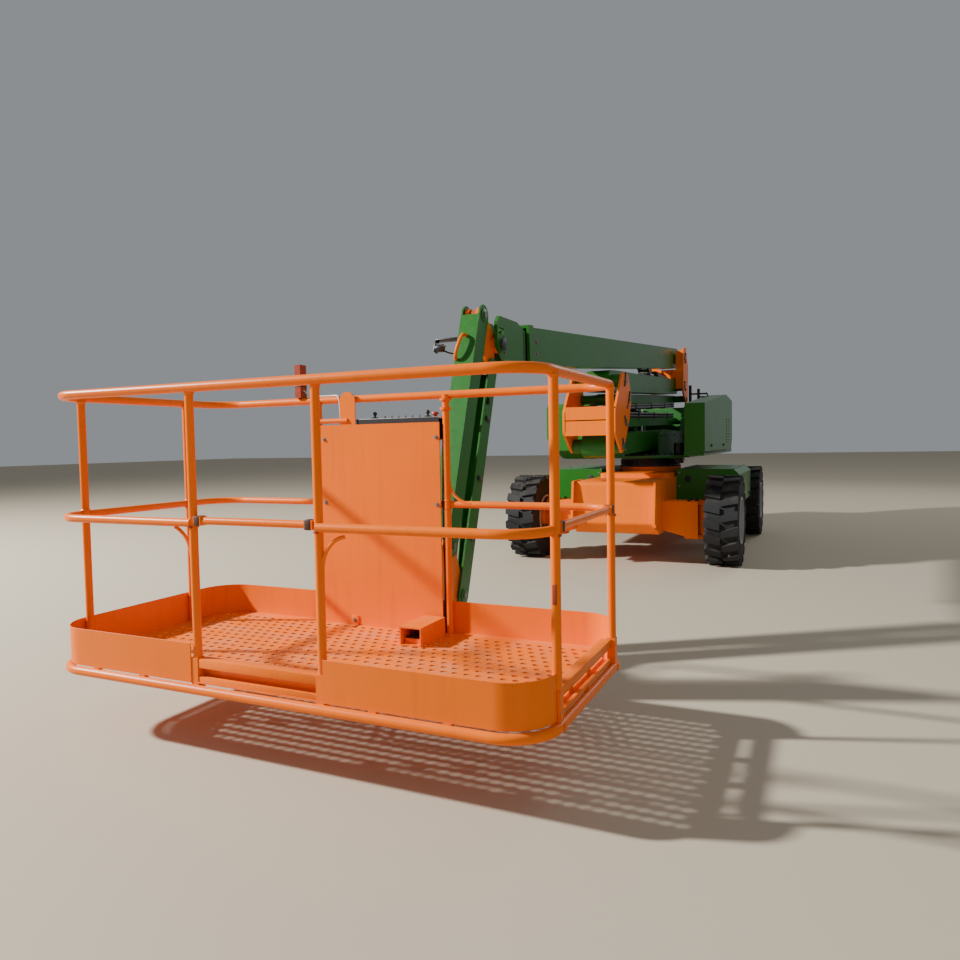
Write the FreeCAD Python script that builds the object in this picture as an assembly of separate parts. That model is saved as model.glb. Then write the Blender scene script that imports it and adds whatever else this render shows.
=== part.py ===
import FreeCAD, Part
import math
import os

V = FreeCAD.Vector
os.makedirs("parts", exist_ok=True)

# Frame: millimetres, origin on the ground under the slewing axis, +X towards the work platform,
# +Y to the machine's left, +Z up.

# Wheels and axles
WHEELBASE = 2500.0
TRACK_HALF = 960.0
TYRE_R = 422.5
TYRE_W = 305.0
RIM_R = 208.7
TYRE_FLATS = 36
LUG_COUNT = 18
LUG_H = 27.0
KINGPIN_Y = 760.0
KINGPIN_R = 22.0
SPINDLE_R = 45.0
RUN_FIT = 0.08

# Chassis
FRAME_HALF_Y = 400.0
FRAME_FRONT_X = 1700.0
FRAME_REAR_X = -1700.0
FRAME_Z0 = 300.0
FRAME_Z1 = 800.0
SEAT_R = 340.0
TIE_R = 18.0
TIE_T = 20.0
TIE_Z = 400.0
SEAT_TOP = 895.0
RING_R = 320.0
RING_TOP = 995.0
WING_HALF_X = 100.0
WING_TOP = 600.0
WING_END_Y = 690.0
COVER_END_Y = 725.0
BOX_X0 = -700.0
BOX_X1 = 620.0
BOX_Y1 = 1020.0
BOX_Z0 = 520.0
BOX_Z1 = 880.0
BOX_SHEET = 6.0
BOX_CHAMFER = 60.0

# Turntable
REAR_END = -1890.0
BASE_T = 25.0
BASE_Z0 = RING_TOP + 0.3
BASE_Z1 = BASE_Z0 + BASE_T
SHEET = 5.0

# Boom plane, riser pins and link sections (x, z)
YB = -90.0
PLATE_T = 20.0
PLATE_OUT = 240.0
UP_OUT = 220.0
PIN_R = 35.0
LINK_PIN_R = 30.0
LOW_ARM = ((-1400.0, 1223.0), (1900.0, 1140.0))
LOW_LINK = ((-1500.0, 1436.0), (1800.0, 1353.0))
UP_ARM = ((-1600.0, 1895.0), (1790.0, 1738.0))
UP_LINK = ((-1750.0, 1735.0), (1640.0, 1578.0))
LOW_ARM_H = 210.0
LOW_ARM_HALF = 120.0
LOW_LINK_H = 90.0
UP_ARM_H = 196.0
UP_ARM_HALF = 110.0
UP_LINK_H = 104.0
UP_LINK_HALF = 60.0
CHANNEL_T = 12.0
RISER_CYL = ((600.0, 1330.0), (1720.0, 1500.0))
LIFT_CYL = ((-1380.0, 1960.0), (-150.0, 1972.0))
CYL_PIN_R = 22.0
RISER_EYE_HALF = 40.0
LIFT_EYE_HALF = 45.0
JIB_EYE_HALF = 21.0

# Telescopic boom
BOOM_PIVOT = (-1620.0, 2271.7)
BOOM_SLOPE = -4.73
BOOM_H = 260.0
BOOM_W = 200.0
BOOM_T = 8.0
BOOM_REAR = 130.0
BOOM_LEN = 5539.0
FLY_H = 210.0
FLY_W = 150.0
FLY_TAIL = 1800.0
FLY_OUT = 121.0
CHEEK_T = 20.0
NOSE_REACH = 431.0

# Jib: its front pin from the nose pin, its rear pin from the front one
JIB_F_OUT = 182.0
JIB_F_UP = 154.0
JIB_R_BACK = 123.0
JIB_R_DOWN = 295.0
JIB_LEN = 1378.0
JIB_ANGLE = -70.4
JIB_HALF = 60.0
JIB_WALL = 10.0
JIB_F_H = 124.0
JIB_R_H = 116.0
JIB_PIN_R = 18.0
TONGUE_IN = 24.0
TONGUE_OUT = 44.0

# Platform
PLAT_OUT = 693.0
PLAT_Y = -73.0
RAIL_HALF_X = 490.0
RAIL_HALF_Y = 1075.0
RAIL_R = 18.0
POST_R = 16.0
POST_OUT = 8.0
SILL_Z = 392.0
BAR_Z = 912.0
END_POST_BACK = 238.0
GATE_POST_OUT = 341.0
CORNER_R = 150.0
TOP_RAIL_Z = 1407.0
MID_RAIL_Z = 904.0
BUMPER_Z = 277.0
BUMPER_OUT = 16.0
POST_IN = 10.0
TOE_Z0 = 300.0
TOE_Z1 = 451.5
TOE_T = 4.0
FLOOR_T = 6.0
GATE_Y = (-368.0, 206.0)
BACK_POST_Y = (-500.0, 210.0)
ROTATOR_OUT = 306.0
ROTATOR_R = 90.0
ROTATOR_Z = (340.0, 620.0)


def boom_point(x):
    """Point on the boom's axis at x from its pivot, on whole millimetres."""
    a = math.radians(BOOM_SLOPE)
    return (float(round(BOOM_PIVOT[0] + x * math.cos(a))), float(round(BOOM_PIVOT[1] + x * math.sin(a))))


def jib_end(pin):
    a = math.radians(JIB_ANGLE)
    return (pin[0] + JIB_LEN * math.cos(a), pin[1] + JIB_LEN * math.sin(a))


# Places that follow from the sizes
FLY_NOSE = BOOM_LEN + FLY_OUT
NOSE_PIN = boom_point(BOOM_LEN + NOSE_REACH)
JIB_F = (NOSE_PIN[0] + JIB_F_OUT, NOSE_PIN[1] + JIB_F_UP)
JIB_R = (JIB_F[0] - JIB_R_BACK, JIB_F[1] - JIB_R_DOWN)
JIB_F2 = jib_end(JIB_F)
JIB_R2 = jib_end(JIB_R)
ROTATOR_X = round(JIB_F2[0]) + ROTATOR_OUT
PLAT_X = ROTATOR_X + PLAT_OUT
END_POST_X = (PLAT_X - END_POST_BACK, PLAT_X + GATE_POST_OUT)
SIDE_POST_X = (PLAT_X - GATE_POST_OUT, PLAT_X + GATE_POST_OUT)


def block(x0, x1, y0, y1, z0, z1):
    return Part.makeBox(x1 - x0, y1 - y0, z1 - z0, V(x0, y0, z0))


def round_y(x, z, r, y0, y1):
    return Part.makeCylinder(r, y1 - y0, V(x, y0, z), V(0, 1, 0))


def round_z(x, y, r, z0, z1):
    return Part.makeCylinder(r, z1 - z0, V(x, y, z0))


def prism(points, way):
    wire = Part.makePolygon([V(*p) for p in points] + [V(*points[0])])
    return Part.Face(wire).extrude(way)


def plate_y(points, y0, y1):
    return prism([(x, y0, z) for x, z in points], V(0, y1 - y0, 0))


def round_x(x0, x1, y, z, r):
    return Part.makeCylinder(r, x1 - x0, V(x0, y, z), V(1, 0, 0))


def plate_x(points, x0, x1):
    return prism([(x0, y, z) for y, z in points], V(x1 - x0, 0, 0))


def plate_z(points, z0, z1):
    return prism([(x, y, z0) for x, y in points], V(0, 0, z1 - z0))


def hull(circles):
    """Closed wire round circles (u, v, r) given counter-clockwise, in the plane w = 0."""
    n = len(circles)
    edges = []
    normals = []
    for i in range(n):
        u1, v1, r1 = circles[i]
        u2, v2, r2 = circles[(i + 1) % n]
        d = math.hypot(u2 - u1, v2 - v1)
        du, dv = (u2 - u1) / d, (v2 - v1) / d
        k = (r1 - r2) / d
        h = math.sqrt(1.0 - k * k)
        normals.append((du * k + dv * h, dv * k - du * h))
    for i in range(n):
        u1, v1, r1 = circles[i]
        u2, v2, r2 = circles[(i + 1) % n]
        nu, nv = normals[i]
        mu, mv = normals[(i + 1) % n]
        p = V(u1 + r1 * nu, v1 + r1 * nv, 0)
        q = V(u2 + r2 * nu, v2 + r2 * nv, 0)
        e = V(u2 + r2 * mu, v2 + r2 * mv, 0)
        edges.append(Part.makeLine(p, q))
        start = math.atan2(nv, nu)
        turn = (math.atan2(mv, mu) - start) % (2 * math.pi)
        if turn > 0.001:
            mid = V(u2 + r2 * math.cos(start + turn / 2), v2 + r2 * math.sin(start + turn / 2), 0)
            edges.append(Part.Arc(q, mid, e).toShape())
    return Part.Wire(edges)


def hull_y(circles, y0, y1):
    """Plate of the hull of circles (x, z, r), between y0 and y1."""
    face = Part.Face(hull(circles))
    face.rotate(V(0, 0, 0), V(1, 0, 0), 90)
    face.translate(V(0, y1, 0))
    return face.extrude(V(0, y0 - y1, 0))


def hull_z(circles, z0, z1):
    """Plate of the hull of circles (x, y, r), between z0 and z1."""
    face = Part.Face(hull(circles))
    face.translate(V(0, 0, z0))
    return face.extrude(V(0, 0, z1 - z0))


def both(shape_of, y_in, y_out):
    """The same plate on both sides of the boom plane."""
    return shape_of(YB + y_in, YB + y_out).fuse(shape_of(YB - y_out, YB - y_in))


def pair(shape_of, y_in, y_out):
    """Two separate solids, one on each side of the boom plane."""
    return [shape_of(YB + y_in, YB + y_out), shape_of(YB - y_out, YB - y_in)]


def fuse(shapes):
    out = shapes[0].fuse(shapes[1:]) if len(shapes) > 1 else shapes[0]
    return out.removeSplitter()


def cut_pins(shape, pins, r, y_half=400.0):
    for x, z in pins:
        shape = shape.cut(round_y(x, z, r, YB - y_half, YB + y_half))
    return shape


def angle_of(a, b):
    return math.degrees(math.atan2(b[1] - a[1], b[0] - a[0]))


def span(a, b):
    return math.hypot(b[0] - a[0], b[1] - a[1])


def lay(shape, pin, angle):
    """From a link's own frame (along +X, pin at the origin) to its place in the boom plane."""
    shape = shape.copy()
    shape.rotate(V(0, 0, 0), V(0, 1, 0), -angle)
    shape.translate(V(pin[0], YB, pin[1]))
    return shape


def mirror(shape):
    return shape.mirror(V(0, 0, 0), V(0, 1, 0))


def turned(profile, centre):
    """Solid of revolution about the Y direction from (radius, y) points."""
    wire = Part.makePolygon([V(r, y, 0) for r, y in profile] + [V(profile[0][0], profile[0][1], 0)])
    solid = Part.Face(wire).revolve(V(0, 0, 0), V(0, 1, 0), 360)
    solid.translate(V(*centre))
    return solid


def loop_wire(off, z):
    """Rounded rectangle in plan, off beyond the rail line."""
    hx, hy, r = RAIL_HALF_X + off, RAIL_HALF_Y + off, CORNER_R + off
    cx, cy = hx - r, hy - r
    circles = [(PLAT_X - cx, PLAT_Y - cy, r), (PLAT_X + cx, PLAT_Y - cy, r),
               (PLAT_X + cx, PLAT_Y + cy, r), (PLAT_X - cx, PLAT_Y + cy, r)]
    wire = hull(circles)
    wire.translate(V(0, 0, z))
    return wire


def loop_tube(off, z, r):
    path = loop_wire(off, z)
    start = path.Edges[0].valueAt(path.Edges[0].FirstParameter)
    way = path.Edges[0].tangentAt(path.Edges[0].FirstParameter)
    ring = Part.Wire(Part.Circle(start, way, r).toShape())
    return path.makePipeShell([ring], True, False)


def loop_wall(off_in, off_out, z0, z1):
    outer = Part.Face(loop_wire(off_out, z0)).extrude(V(0, 0, z1 - z0))
    inner = Part.Face(loop_wire(off_in, z0 - 1)).extrude(V(0, 0, z1 - z0 + 2))
    return outer.cut(inner)


NODES = {}


def keep(name, *solids):
    flat = []
    for s in solids:
        flat += list(s) if isinstance(s, (list, tuple)) else [s]
    NODES[name] = flat[0] if len(flat) == 1 else Part.makeCompound(flat)


# Chassis frame: welded box with rounded nose and tail, and the seat of the slewing ring
body = hull_y([(FRAME_REAR_X + 160, FRAME_Z0 + 60, 60), (FRAME_FRONT_X - 160, FRAME_Z0 + 60, 60),
               (FRAME_FRONT_X - 80, FRAME_Z0 + 120, 40), (FRAME_FRONT_X - 80, FRAME_Z1 - 40, 40),
               (FRAME_REAR_X + 80, FRAME_Z1 - 40, 40), (FRAME_REAR_X + 80, FRAME_Z0 + 120, 40)],
              -FRAME_HALF_Y, FRAME_HALF_Y)
seat = round_z(0, 0, SEAT_R, FRAME_Z1 - 10, SEAT_TOP)
saddle = hull_z([(-SEAT_R, -60, 40), (0, -FRAME_HALF_Y + 10, 40), (FRAME_FRONT_X - 900, -300, 60),
                 (FRAME_FRONT_X - 900, 300, 60), (0, FRAME_HALF_Y - 10, 40), (-SEAT_R, 60, 40)],
                FRAME_Z1 - 1, FRAME_Z1 + 45)
saddle = saddle.common(block(FRAME_REAR_X, FRAME_FRONT_X, -FRAME_HALF_Y, FRAME_HALF_Y, FRAME_Z1 - 1, FRAME_Z1 + 45))
sides = []
for end, way in ((FRAME_FRONT_X, 1), (FRAME_REAR_X, -1)):
    for side in (-1, 1):
        y0, y1 = sorted((side * (FRAME_HALF_Y - TIE_T), side * FRAME_HALF_Y))
        foot, eye, top, root = (end - way * 160, 352), (end + way * 20, TIE_Z), (end - way * 20, 785), (end - way * 300, 790)
        ring = [foot + (25,), eye + (32,), top + (22,), root + (20,)]
        plate = hull_y(ring if way > 0 else ring[::-1], y0, y1)
        sides.append(plate.cut(round_y(end + way * 20, TIE_Z, TIE_R, y0 - 5, y1 + 5)))
keep("chassis_frame", fuse([body, seat, saddle] + sides))

# Front axle: two wings with kingpin yokes; rear axle: two wings with fixed spindles
AXLE_X = WHEELBASE / 2
front = []
for side in (1, -1):
    wing = plate_x([(FRAME_HALF_Y, 322), (WING_END_Y, 245), (WING_END_Y, WING_TOP), (FRAME_HALF_Y, WING_TOP)],
                   AXLE_X - WING_HALF_X, AXLE_X + WING_HALF_X)
    wing = wing.cut(block(AXLE_X - 60, AXLE_X + 60, WING_END_Y - 60, WING_END_Y + 5, 281, 564))
    outline = [(AXLE_X - 45, WING_END_Y - 50, 50), (AXLE_X + 45, WING_END_Y - 50, 50), (AXLE_X, KINGPIN_Y, 55)]
    lugs = [hull_z(outline, z0, z1) for z0, z1 in ((245, 280), (565, WING_TOP))]
    pin = round_z(AXLE_X, KINGPIN_Y, KINGPIN_R, 232, 612)
    cap = round_z(AXLE_X, KINGPIN_Y, KINGPIN_R + 14, WING_TOP - 1, 612)
    cover = plate_x([(FRAME_HALF_Y, 322), (WING_END_Y, 245), (COVER_END_Y, 245), (COVER_END_Y, WING_TOP),
                     (FRAME_HALF_Y, WING_TOP)], AXLE_X + WING_HALF_X - 1, AXLE_X + WING_HALF_X + 12)
    yoke = fuse([wing, cover] + lugs + [pin, cap])
    front.append(yoke if side > 0 else mirror(yoke))

rear = []
for side in (1, -1):
    wing = plate_x([(FRAME_HALF_Y, 270), (WING_END_Y, 245), (WING_END_Y, WING_TOP), (FRAME_HALF_Y, WING_TOP)],
                   -AXLE_X - WING_HALF_X, -AXLE_X + WING_HALF_X)
    motor = Part.makeCylinder(110, 110, V(-AXLE_X, WING_END_Y - 1, TYRE_R), V(0, 1, 0))
    spindle = Part.makeCylinder(SPINDLE_R, TRACK_HALF + 20 - WING_END_Y, V(-AXLE_X, WING_END_Y, TYRE_R), V(0, 1, 0))
    arm = fuse([wing, motor, spindle])
    rear.append(arm if side > 0 else mirror(arm))
keep("axle_beams", front, rear)

# Steering knuckles: hub carrier on the kingpin with its drive motor and spindle
for name, side in (("steer_knuckle_left", 1), ("steer_knuckle_right", -1)):
    carrier = round_z(AXLE_X, KINGPIN_Y, 50, 281, 564)
    motor = Part.makeCylinder(95, 70, V(AXLE_X, KINGPIN_Y + 40, TYRE_R), V(0, 1, 0))
    spindle = Part.makeCylinder(SPINDLE_R, TRACK_HALF + 20 - KINGPIN_Y, V(AXLE_X, KINGPIN_Y, TYRE_R), V(0, 1, 0))
    knuckle = fuse([carrier, motor, spindle])
    knuckle = knuckle.cut(round_z(AXLE_X, KINGPIN_Y, KINGPIN_R + RUN_FIT, 200, 650))
    keep(name, knuckle if side > 0 else mirror(knuckle))

# Tyres: faceted carcass with two rows of swept bars, staggered by half a pitch
BEAD_Y, BEAD_GAP = TYRE_W / 2 - 14, 0.8
CARCASS = ((RIM_R + 16, -BEAD_Y), (RIM_R + 50, -TYRE_W / 2 + 5), (RIM_R + 95, -TYRE_W / 2),
           (TYRE_R - 52, -TYRE_W / 2 + 8), (TYRE_R - LUG_H, -TYRE_W / 2 + 34))


def ring_wire(r, y, phase=0.0):
    step = 2 * math.pi / TYRE_FLATS
    pts = [V(r * math.cos(step * (i + phase)), y, r * math.sin(step * (i + phase))) for i in range(TYRE_FLATS)]
    return Part.makePolygon(pts + [pts[0]])


def tread_row(side, phase):
    """Bars of one half of the tread, from the middle over the shoulder."""
    bar = [(6.0, -54.0), (6.0, 6.0), (TYRE_W / 2 - 20, 52.0), (TYRE_W / 2 - 5, 46.0), (TYRE_W / 2 - 5, -24.0)]
    pts = [(TYRE_R - LUG_H - 22, side * y, t) for y, t in bar]
    solid = prism(pts, V(LUG_H + 40, 0, 0))
    rows = []
    for i in range(LUG_COUNT):
        lug = solid.copy()
        lug.rotate(V(0, 0, 0), V(0, 1, 0), 90 + 360.0 / LUG_COUNT * (i + phase))
        rows.append(lug)
    return rows


carcass = Part.makeLoft([ring_wire(r, y) for r, y in CARCASS] +
                        [ring_wire(r, -y) for r, y in reversed(CARCASS)], True, True)
bore = (RIM_R + BEAD_GAP) / math.cos(math.pi / TYRE_FLATS)
carcass = carcass.cut(Part.Face(ring_wire(bore, -TYRE_W)).extrude(V(0, 2 * TYRE_W, 0)))
bars = Part.makeCompound(tread_row(1, 0.0) + tread_row(-1, 0.5))
bars = bars.common(Part.makeCylinder(TYRE_R, 2 * TYRE_W, V(0, -TYRE_W, 0), V(0, 1, 0)))
TYRE = carcass.fuse(bars.Solids)

# Wheels: dished rim with hub, and its tyre
HUB_R = 80.0
RIM_PROFILE = [(SPINDLE_R + RUN_FIT, -45), (HUB_R, -45), (HUB_R, 30), (RIM_R - 8, 40), (RIM_R - 8, -148),
               (RIM_R + 12, -148), (RIM_R + 12, -141), (RIM_R, -140), (RIM_R, 140), (RIM_R + 12, 141),
               (RIM_R + 12, 148), (RIM_R - 8, 148), (RIM_R - 8, 56), (HUB_R, 46), (HUB_R, 85),
               (HUB_R - 20, 95), (0, 95), (0, 22), (SPINDLE_R + RUN_FIT, 22)]
WHEELS = (("front_left", AXLE_X, TRACK_HALF, 1), ("front_right", AXLE_X, -TRACK_HALF, -1),
          ("rear_left", -AXLE_X, TRACK_HALF, 1), ("rear_right", -AXLE_X, -TRACK_HALF, -1))
for name, x, y, side in WHEELS:
    tyre = TYRE.copy() if side > 0 else mirror(TYRE)
    tyre.translate(V(x, y, TYRE_R))
    rim = turned([(r, v * side) for r, v in RIM_PROFILE], (x, y, TYRE_R))
    keep("tyre_" + name, tyre)
    keep("rim_" + name, rim)

# Side boxes on the chassis, with doors hinged along the upper outer edge
HINGE_Y = BOX_Y1 - BOX_CHAMFER
outline = [(FRAME_HALF_Y, BOX_Z0), (BOX_Y1, BOX_Z0), (BOX_Y1, BOX_Z1 - BOX_CHAMFER), (HINGE_Y, BOX_Z1),
           (FRAME_HALF_Y, BOX_Z1)]
T = BOX_SHEET
inside = [(FRAME_HALF_Y + T, BOX_Z0 + T), (BOX_Y1 + 5, BOX_Z0 + T), (BOX_Y1 + 5, BOX_Z1 + 5),
          (HINGE_Y, BOX_Z1 + 5), (HINGE_Y, BOX_Z1 - T), (FRAME_HALF_Y + T, BOX_Z1 - T)]
skin = [(BOX_Y1 + 0.4, BOX_Z0 + 2), (BOX_Y1 + 0.4 + T, BOX_Z0 + 2), (BOX_Y1 + 0.4 + T, BOX_Z1 - BOX_CHAMFER + 2.5),
        (HINGE_Y + 4 + T, BOX_Z1 - 1), (HINGE_Y + 4, BOX_Z1 - 4 + 0.57), (BOX_Y1 + 0.4, BOX_Z1 - BOX_CHAMFER + 0.17)]
cases = []
for name, side in (("left", 1), ("right", -1)):
    case = plate_x(outline, BOX_X0, BOX_X1).cut(plate_x(inside, BOX_X0 + T, BOX_X1 - T))
    case = case.cut(Part.makeCylinder(30, 40, V(BOX_X1 - 20, 520, 780), V(1, 0, 0)))
    door = plate_x(skin, BOX_X0 + 4, BOX_X1 - 4)
    knobs = [Part.makeCylinder(14, 8, V(x, BOX_Y1 + T, BOX_Z0 + 50), V(0, 1, 0)) for x in (-480, 400)]
    knuckles = [fuse([round_x(x, x + 60, HINGE_Y + 4, BOX_Z1 + 3, 3.5), block(x, x + 60, HINGE_Y + 2, HINGE_Y + 6,
                     BOX_Z1 - 3.2, BOX_Z1 + 3)]) for x in (-620, -70, 480)]
    door = fuse([door] + knobs + knuckles)
    cases.append(case if side > 0 else mirror(case))
    keep("side_door_" + name, door if side > 0 else mirror(door))
keep("side_boxes", cases)

# Slewing ring on the chassis
keep("slew_ring", round_z(0, 0, RING_R, SEAT_TOP, RING_TOP).cut(round_z(0, 0, 230, SEAT_TOP - 5, RING_TOP + 5)))

# Turntable: base plate, two riser plates, trays and bulkheads of the hoods
R_IN, R_OUT, L_IN, L_OUT = 500.0, 700.0, -500.0, -980.0
LEFT_SLOPE = (150.0, 225.0)
POST_R_Y = 294.0
HOOD_FRONT_R, HOOD_FRONT_L, HOOD_REAR = 700.0, 750.0, -1870.0
TRAY_R, TRAY_L = 1060.0, 1020.3
base = plate_z([(560, -330), (560, 150), (380, R_IN - 8), (-1880, R_IN - 8), (-1880, L_IN + 8), (380, L_IN + 8)],
               BASE_Z0, BASE_Z1)
cheek = [(-1660, BASE_Z1 - 1), (200, BASE_Z1 - 1), (200, 1235), (135, 1300), (-1180, 1300), (-1320, 1520),
         (-1380, 1560), (-1600, 1560), (-1660, 1500)]
cheeks = both(lambda a, b: plate_y(cheek, a, b), PLATE_OUT - PLATE_T, PLATE_OUT)
tray_r = block(HOOD_REAR, HOOD_FRONT_R, R_IN - 10, R_OUT - SHEET - 3, BASE_Z1 - 1, BASE_Z1 + 40)
tray_l = block(HOOD_REAR + 130, HOOD_FRONT_L - 130, L_OUT + LEFT_SLOPE[0] + 25, L_IN + 10, BASE_Z0, BASE_Z0 + 20)
step = block(HOOD_FRONT_L - 60, HOOD_FRONT_L - 12, L_IN + 3, L_IN + 165, 1122, 1160)
wall_r = block(HOOD_REAR + SHEET + 3, HOOD_FRONT_R - SHEET - 3, R_IN - 8, R_IN - 2, BASE_Z1, 1530)
wall_l = block(HOOD_REAR + SHEET + 3, HOOD_FRONT_L - SHEET - 3, L_IN + 2, L_IN + 8, BASE_Z0, 1560)
frame = fuse([base, cheeks, tray_r, tray_l, step, wall_r, wall_l])
TURRET_PINS = ((LOW_ARM[0], PIN_R), (LOW_LINK[0], LINK_PIN_R))
for pin, r in TURRET_PINS:
    frame = cut_pins(frame, [pin], r + 0.05)
keep("turntable_frame", frame)
keep("turntable_pins", [round_y(pin[0], pin[1], r, YB - 252, YB + 252) for pin, r in TURRET_PINS])

# Counterweight between the hoods, engine on the left tray and tanks on the right one
weight = [(REAR_END + 30, BASE_Z1 + 30, 30), (-1700, BASE_Z1 + 20, 20), (-1700, 1600, 20), (-1830, 1560, 60)]
keep("counterweight", hull_y(weight, L_IN + 50, POST_R_Y - 26))
engine = plate_x([(-930, 1190), (-800, BASE_Z0 + 20), (-570, BASE_Z0 + 20), (-570, 1470), (-930, 1470)], -1350, -350)
tank = block(-1500, 300, R_IN + 30, R_OUT - 40, BASE_Z1 + 40, 1440)
keep("engine_and_tank", engine, tank)
drive = fuse([round_z(260, 372, 45, 932, BASE_Z0), block(205, 315, 327, 417, 955, BASE_Z0),
              round_z(260, 372, 60, BASE_Z1, BASE_Z1 + 130)])
keep("slew_drive", [part for part in drive.Solids])

# Hoods: folded sheet, open below and towards the boom, hinged along the upper inner edge
RIGHT_SIDE = [(HOOD_FRONT_R, 1062), (HOOD_FRONT_R, 1560), (-1200, 1740), (HOOD_REAR, 1690), (HOOD_REAR, 1180),
              (HOOD_REAR + 110, 1062)]
LEFT_SIDE = [(HOOD_FRONT_L, 1090), (HOOD_FRONT_L, 1560), (HOOD_FRONT_L - 60, 1600), (HOOD_REAR, 1600),
             (HOOD_REAR, 1130), (HOOD_REAR + 110, 1000), (HOOD_FRONT_L - 110, 1000)]


def inset(points, t):
    cx = sum(p[0] for p in points) / len(points)
    cz = sum(p[1] for p in points) / len(points)
    return [(x - math.copysign(t, x - cx), z - math.copysign(t, z - cz)) for x, z in points]


HINGES = {"right": (R_IN - 8, 1752.0, (-1700.0, -1000.0), 1, 1860.0),
          "left": (L_IN + 8, 1618.0, (-1600.0, 300.0), -1, 1632.0)}
EYE_R, STUB_R = 14.0, 6.0


def hinge_ears(side, top_z):
    """Ears of a hood round the stubs of its two posts."""
    y, z, places, way, _ = HINGES[side]
    ears = []
    for x in places:
        w = way * 30
        low = top_z(x) - 4
        pts = [(y - 9 * way, z), (y - 9 * way, z + 8), (y + 9 * way, z + 8), (y + w, low), (y + w - 16 * way, low)]
        ear = plate_x(pts, x + 21, x + 29).fuse(round_x(x + 21, x + 29, y, z, EYE_R - 2))
        ears.append(ear.cut(round_x(x + 15, x + 35, y, z, STUB_R + RUN_FIT)))
    return ears


def right_top(x):
    return 1740 + (x + 1200) / 1900.0 * -180 if x > -1200 else 1740 - (-1200 - x) / 670.0 * 50


right = plate_y(RIGHT_SIDE, R_IN, R_OUT)
right = right.cut(plate_y(inset(RIGHT_SIDE, SHEET), R_IN - 5, R_OUT - SHEET))
right = right.cut(block(HOOD_REAR + 120, HOOD_FRONT_R - SHEET, R_IN - 5, R_OUT - SHEET, 1000, 1080))
keep("hood_right", fuse([right] + hinge_ears("right", right_top)))
def slope(t):
    """Lower outer edge of the left hood, t inside the sheet."""
    run, rise = LEFT_SLOPE
    pts = [(L_OUT - 20, 970), (L_OUT + run + 20 + t, 970), (L_OUT - 20, 1000 + rise + 30 + t * rise / run)]
    return plate_x(pts, HOOD_REAR - 50, HOOD_FRONT_L + 50)


left = plate_y(LEFT_SIDE, L_OUT, L_IN).cut(slope(0))
left = left.cut(plate_y(inset(LEFT_SIDE, SHEET), L_OUT + SHEET, L_IN + 5).cut(slope(SHEET * 1.2)))
left = left.cut(block(HOOD_REAR + 120, HOOD_FRONT_L - 120, L_OUT + LEFT_SLOPE[0] + 12, L_IN + 5, 990, 1020))
keep("hood_left", fuse([left] + hinge_ears("left", lambda x: 1600.0)))

# Hinge posts of the hoods, with a stub for each ear
posts = []
for side in ("right", "left"):
    y, z, places, way, top = HINGES[side]
    mid = POST_R_Y if side == "right" else y + 18
    for x in places:
        post = block(x - 20, x + 20, mid - 16, mid + 16, BASE_Z1, top)
        arm = block(x - 12, x + 12, min(mid, y), max(mid, y), z - 10, z + 10)
        posts.append(fuse([post, arm, round_x(x - 20, x + 20, y, z, EYE_R - 2), round_x(x + 10, x + 32, y, z, STUB_R)]))
keep("hood_posts", posts)

# Riser: lower arm with the lugs of its cylinder
L = span(*LOW_ARM)
arm = block(0, L, -LOW_ARM_HALF, LOW_ARM_HALF, -LOW_ARM_H / 2, LOW_ARM_H / 2)
ends = [round_y(x, 0, LOW_ARM_H / 2, -LOW_ARM_HALF, LOW_ARM_HALF) for x in (0, L)]
bosses = [round_y(x, 0, 65, -PLATE_OUT + PLATE_T + 2, PLATE_OUT - PLATE_T - 2) for x in (0, L)]
arm = lay(fuse([arm] + ends + bosses), LOW_ARM[0], angle_of(*LOW_ARM))
foot = RISER_CYL[0]
lug = [(foot[0] - 70, foot[1] - 100, 5), (foot[0] + 70, foot[1] - 100, 5), (foot[0], foot[1], 34)]
arm = fuse([arm, both(lambda a, b: hull_y(lug, a, b), 52, 68)])
arm = cut_pins(arm, LOW_ARM, PIN_R + RUN_FIT)
arm = cut_pins(arm, [foot], CYL_PIN_R + 0.05)
keep("riser_lower_arm", arm)
keep("riser_cylinder_pin", round_y(foot[0], foot[1], CYL_PIN_R, YB - 72, YB + 72))

# Lower link: two bars that straddle the riser cylinder, joined at the pins
L = span(*LOW_LINK)
bars = both(lambda a, b: hull_y([(0, 0, LOW_LINK_H / 2), (L, 0, LOW_LINK_H / 2)], a - YB, b - YB), 75, 115)
tubes = [round_y(x, 0, 44, -PLATE_OUT + PLATE_T + 2, PLATE_OUT - PLATE_T - 2) for x in (0, L)]
link = lay(fuse([bars] + tubes), LOW_LINK[0], angle_of(*LOW_LINK))
keep("riser_lower_link", cut_pins(link, LOW_LINK, LINK_PIN_R + RUN_FIT))

# Upper arm: channel open at the top, where the lift cylinder lies
L = span(*UP_ARM)
arm = hull_y([(0, 0, UP_ARM_H / 2), (L, 0, UP_ARM_H / 2)], -UP_ARM_HALF, UP_ARM_HALF)
arm = arm.cut(block(-150, 1900, -UP_ARM_HALF + CHANNEL_T, UP_ARM_HALF - CHANNEL_T,
                    -UP_ARM_H / 2 + CHANNEL_T, UP_ARM_H / 2 + 5))
tubes = [round_y(0, 0, 60, -UP_OUT + PLATE_T + 2, UP_OUT - PLATE_T - 2),
         round_y(L, 0, 60, -PLATE_OUT + PLATE_T + 2, PLATE_OUT - PLATE_T - 2)]
arm = lay(fuse([arm] + tubes), UP_ARM[0], angle_of(*UP_ARM))
keep("riser_upper_arm", cut_pins(arm, UP_ARM, PIN_R + RUN_FIT))

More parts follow.
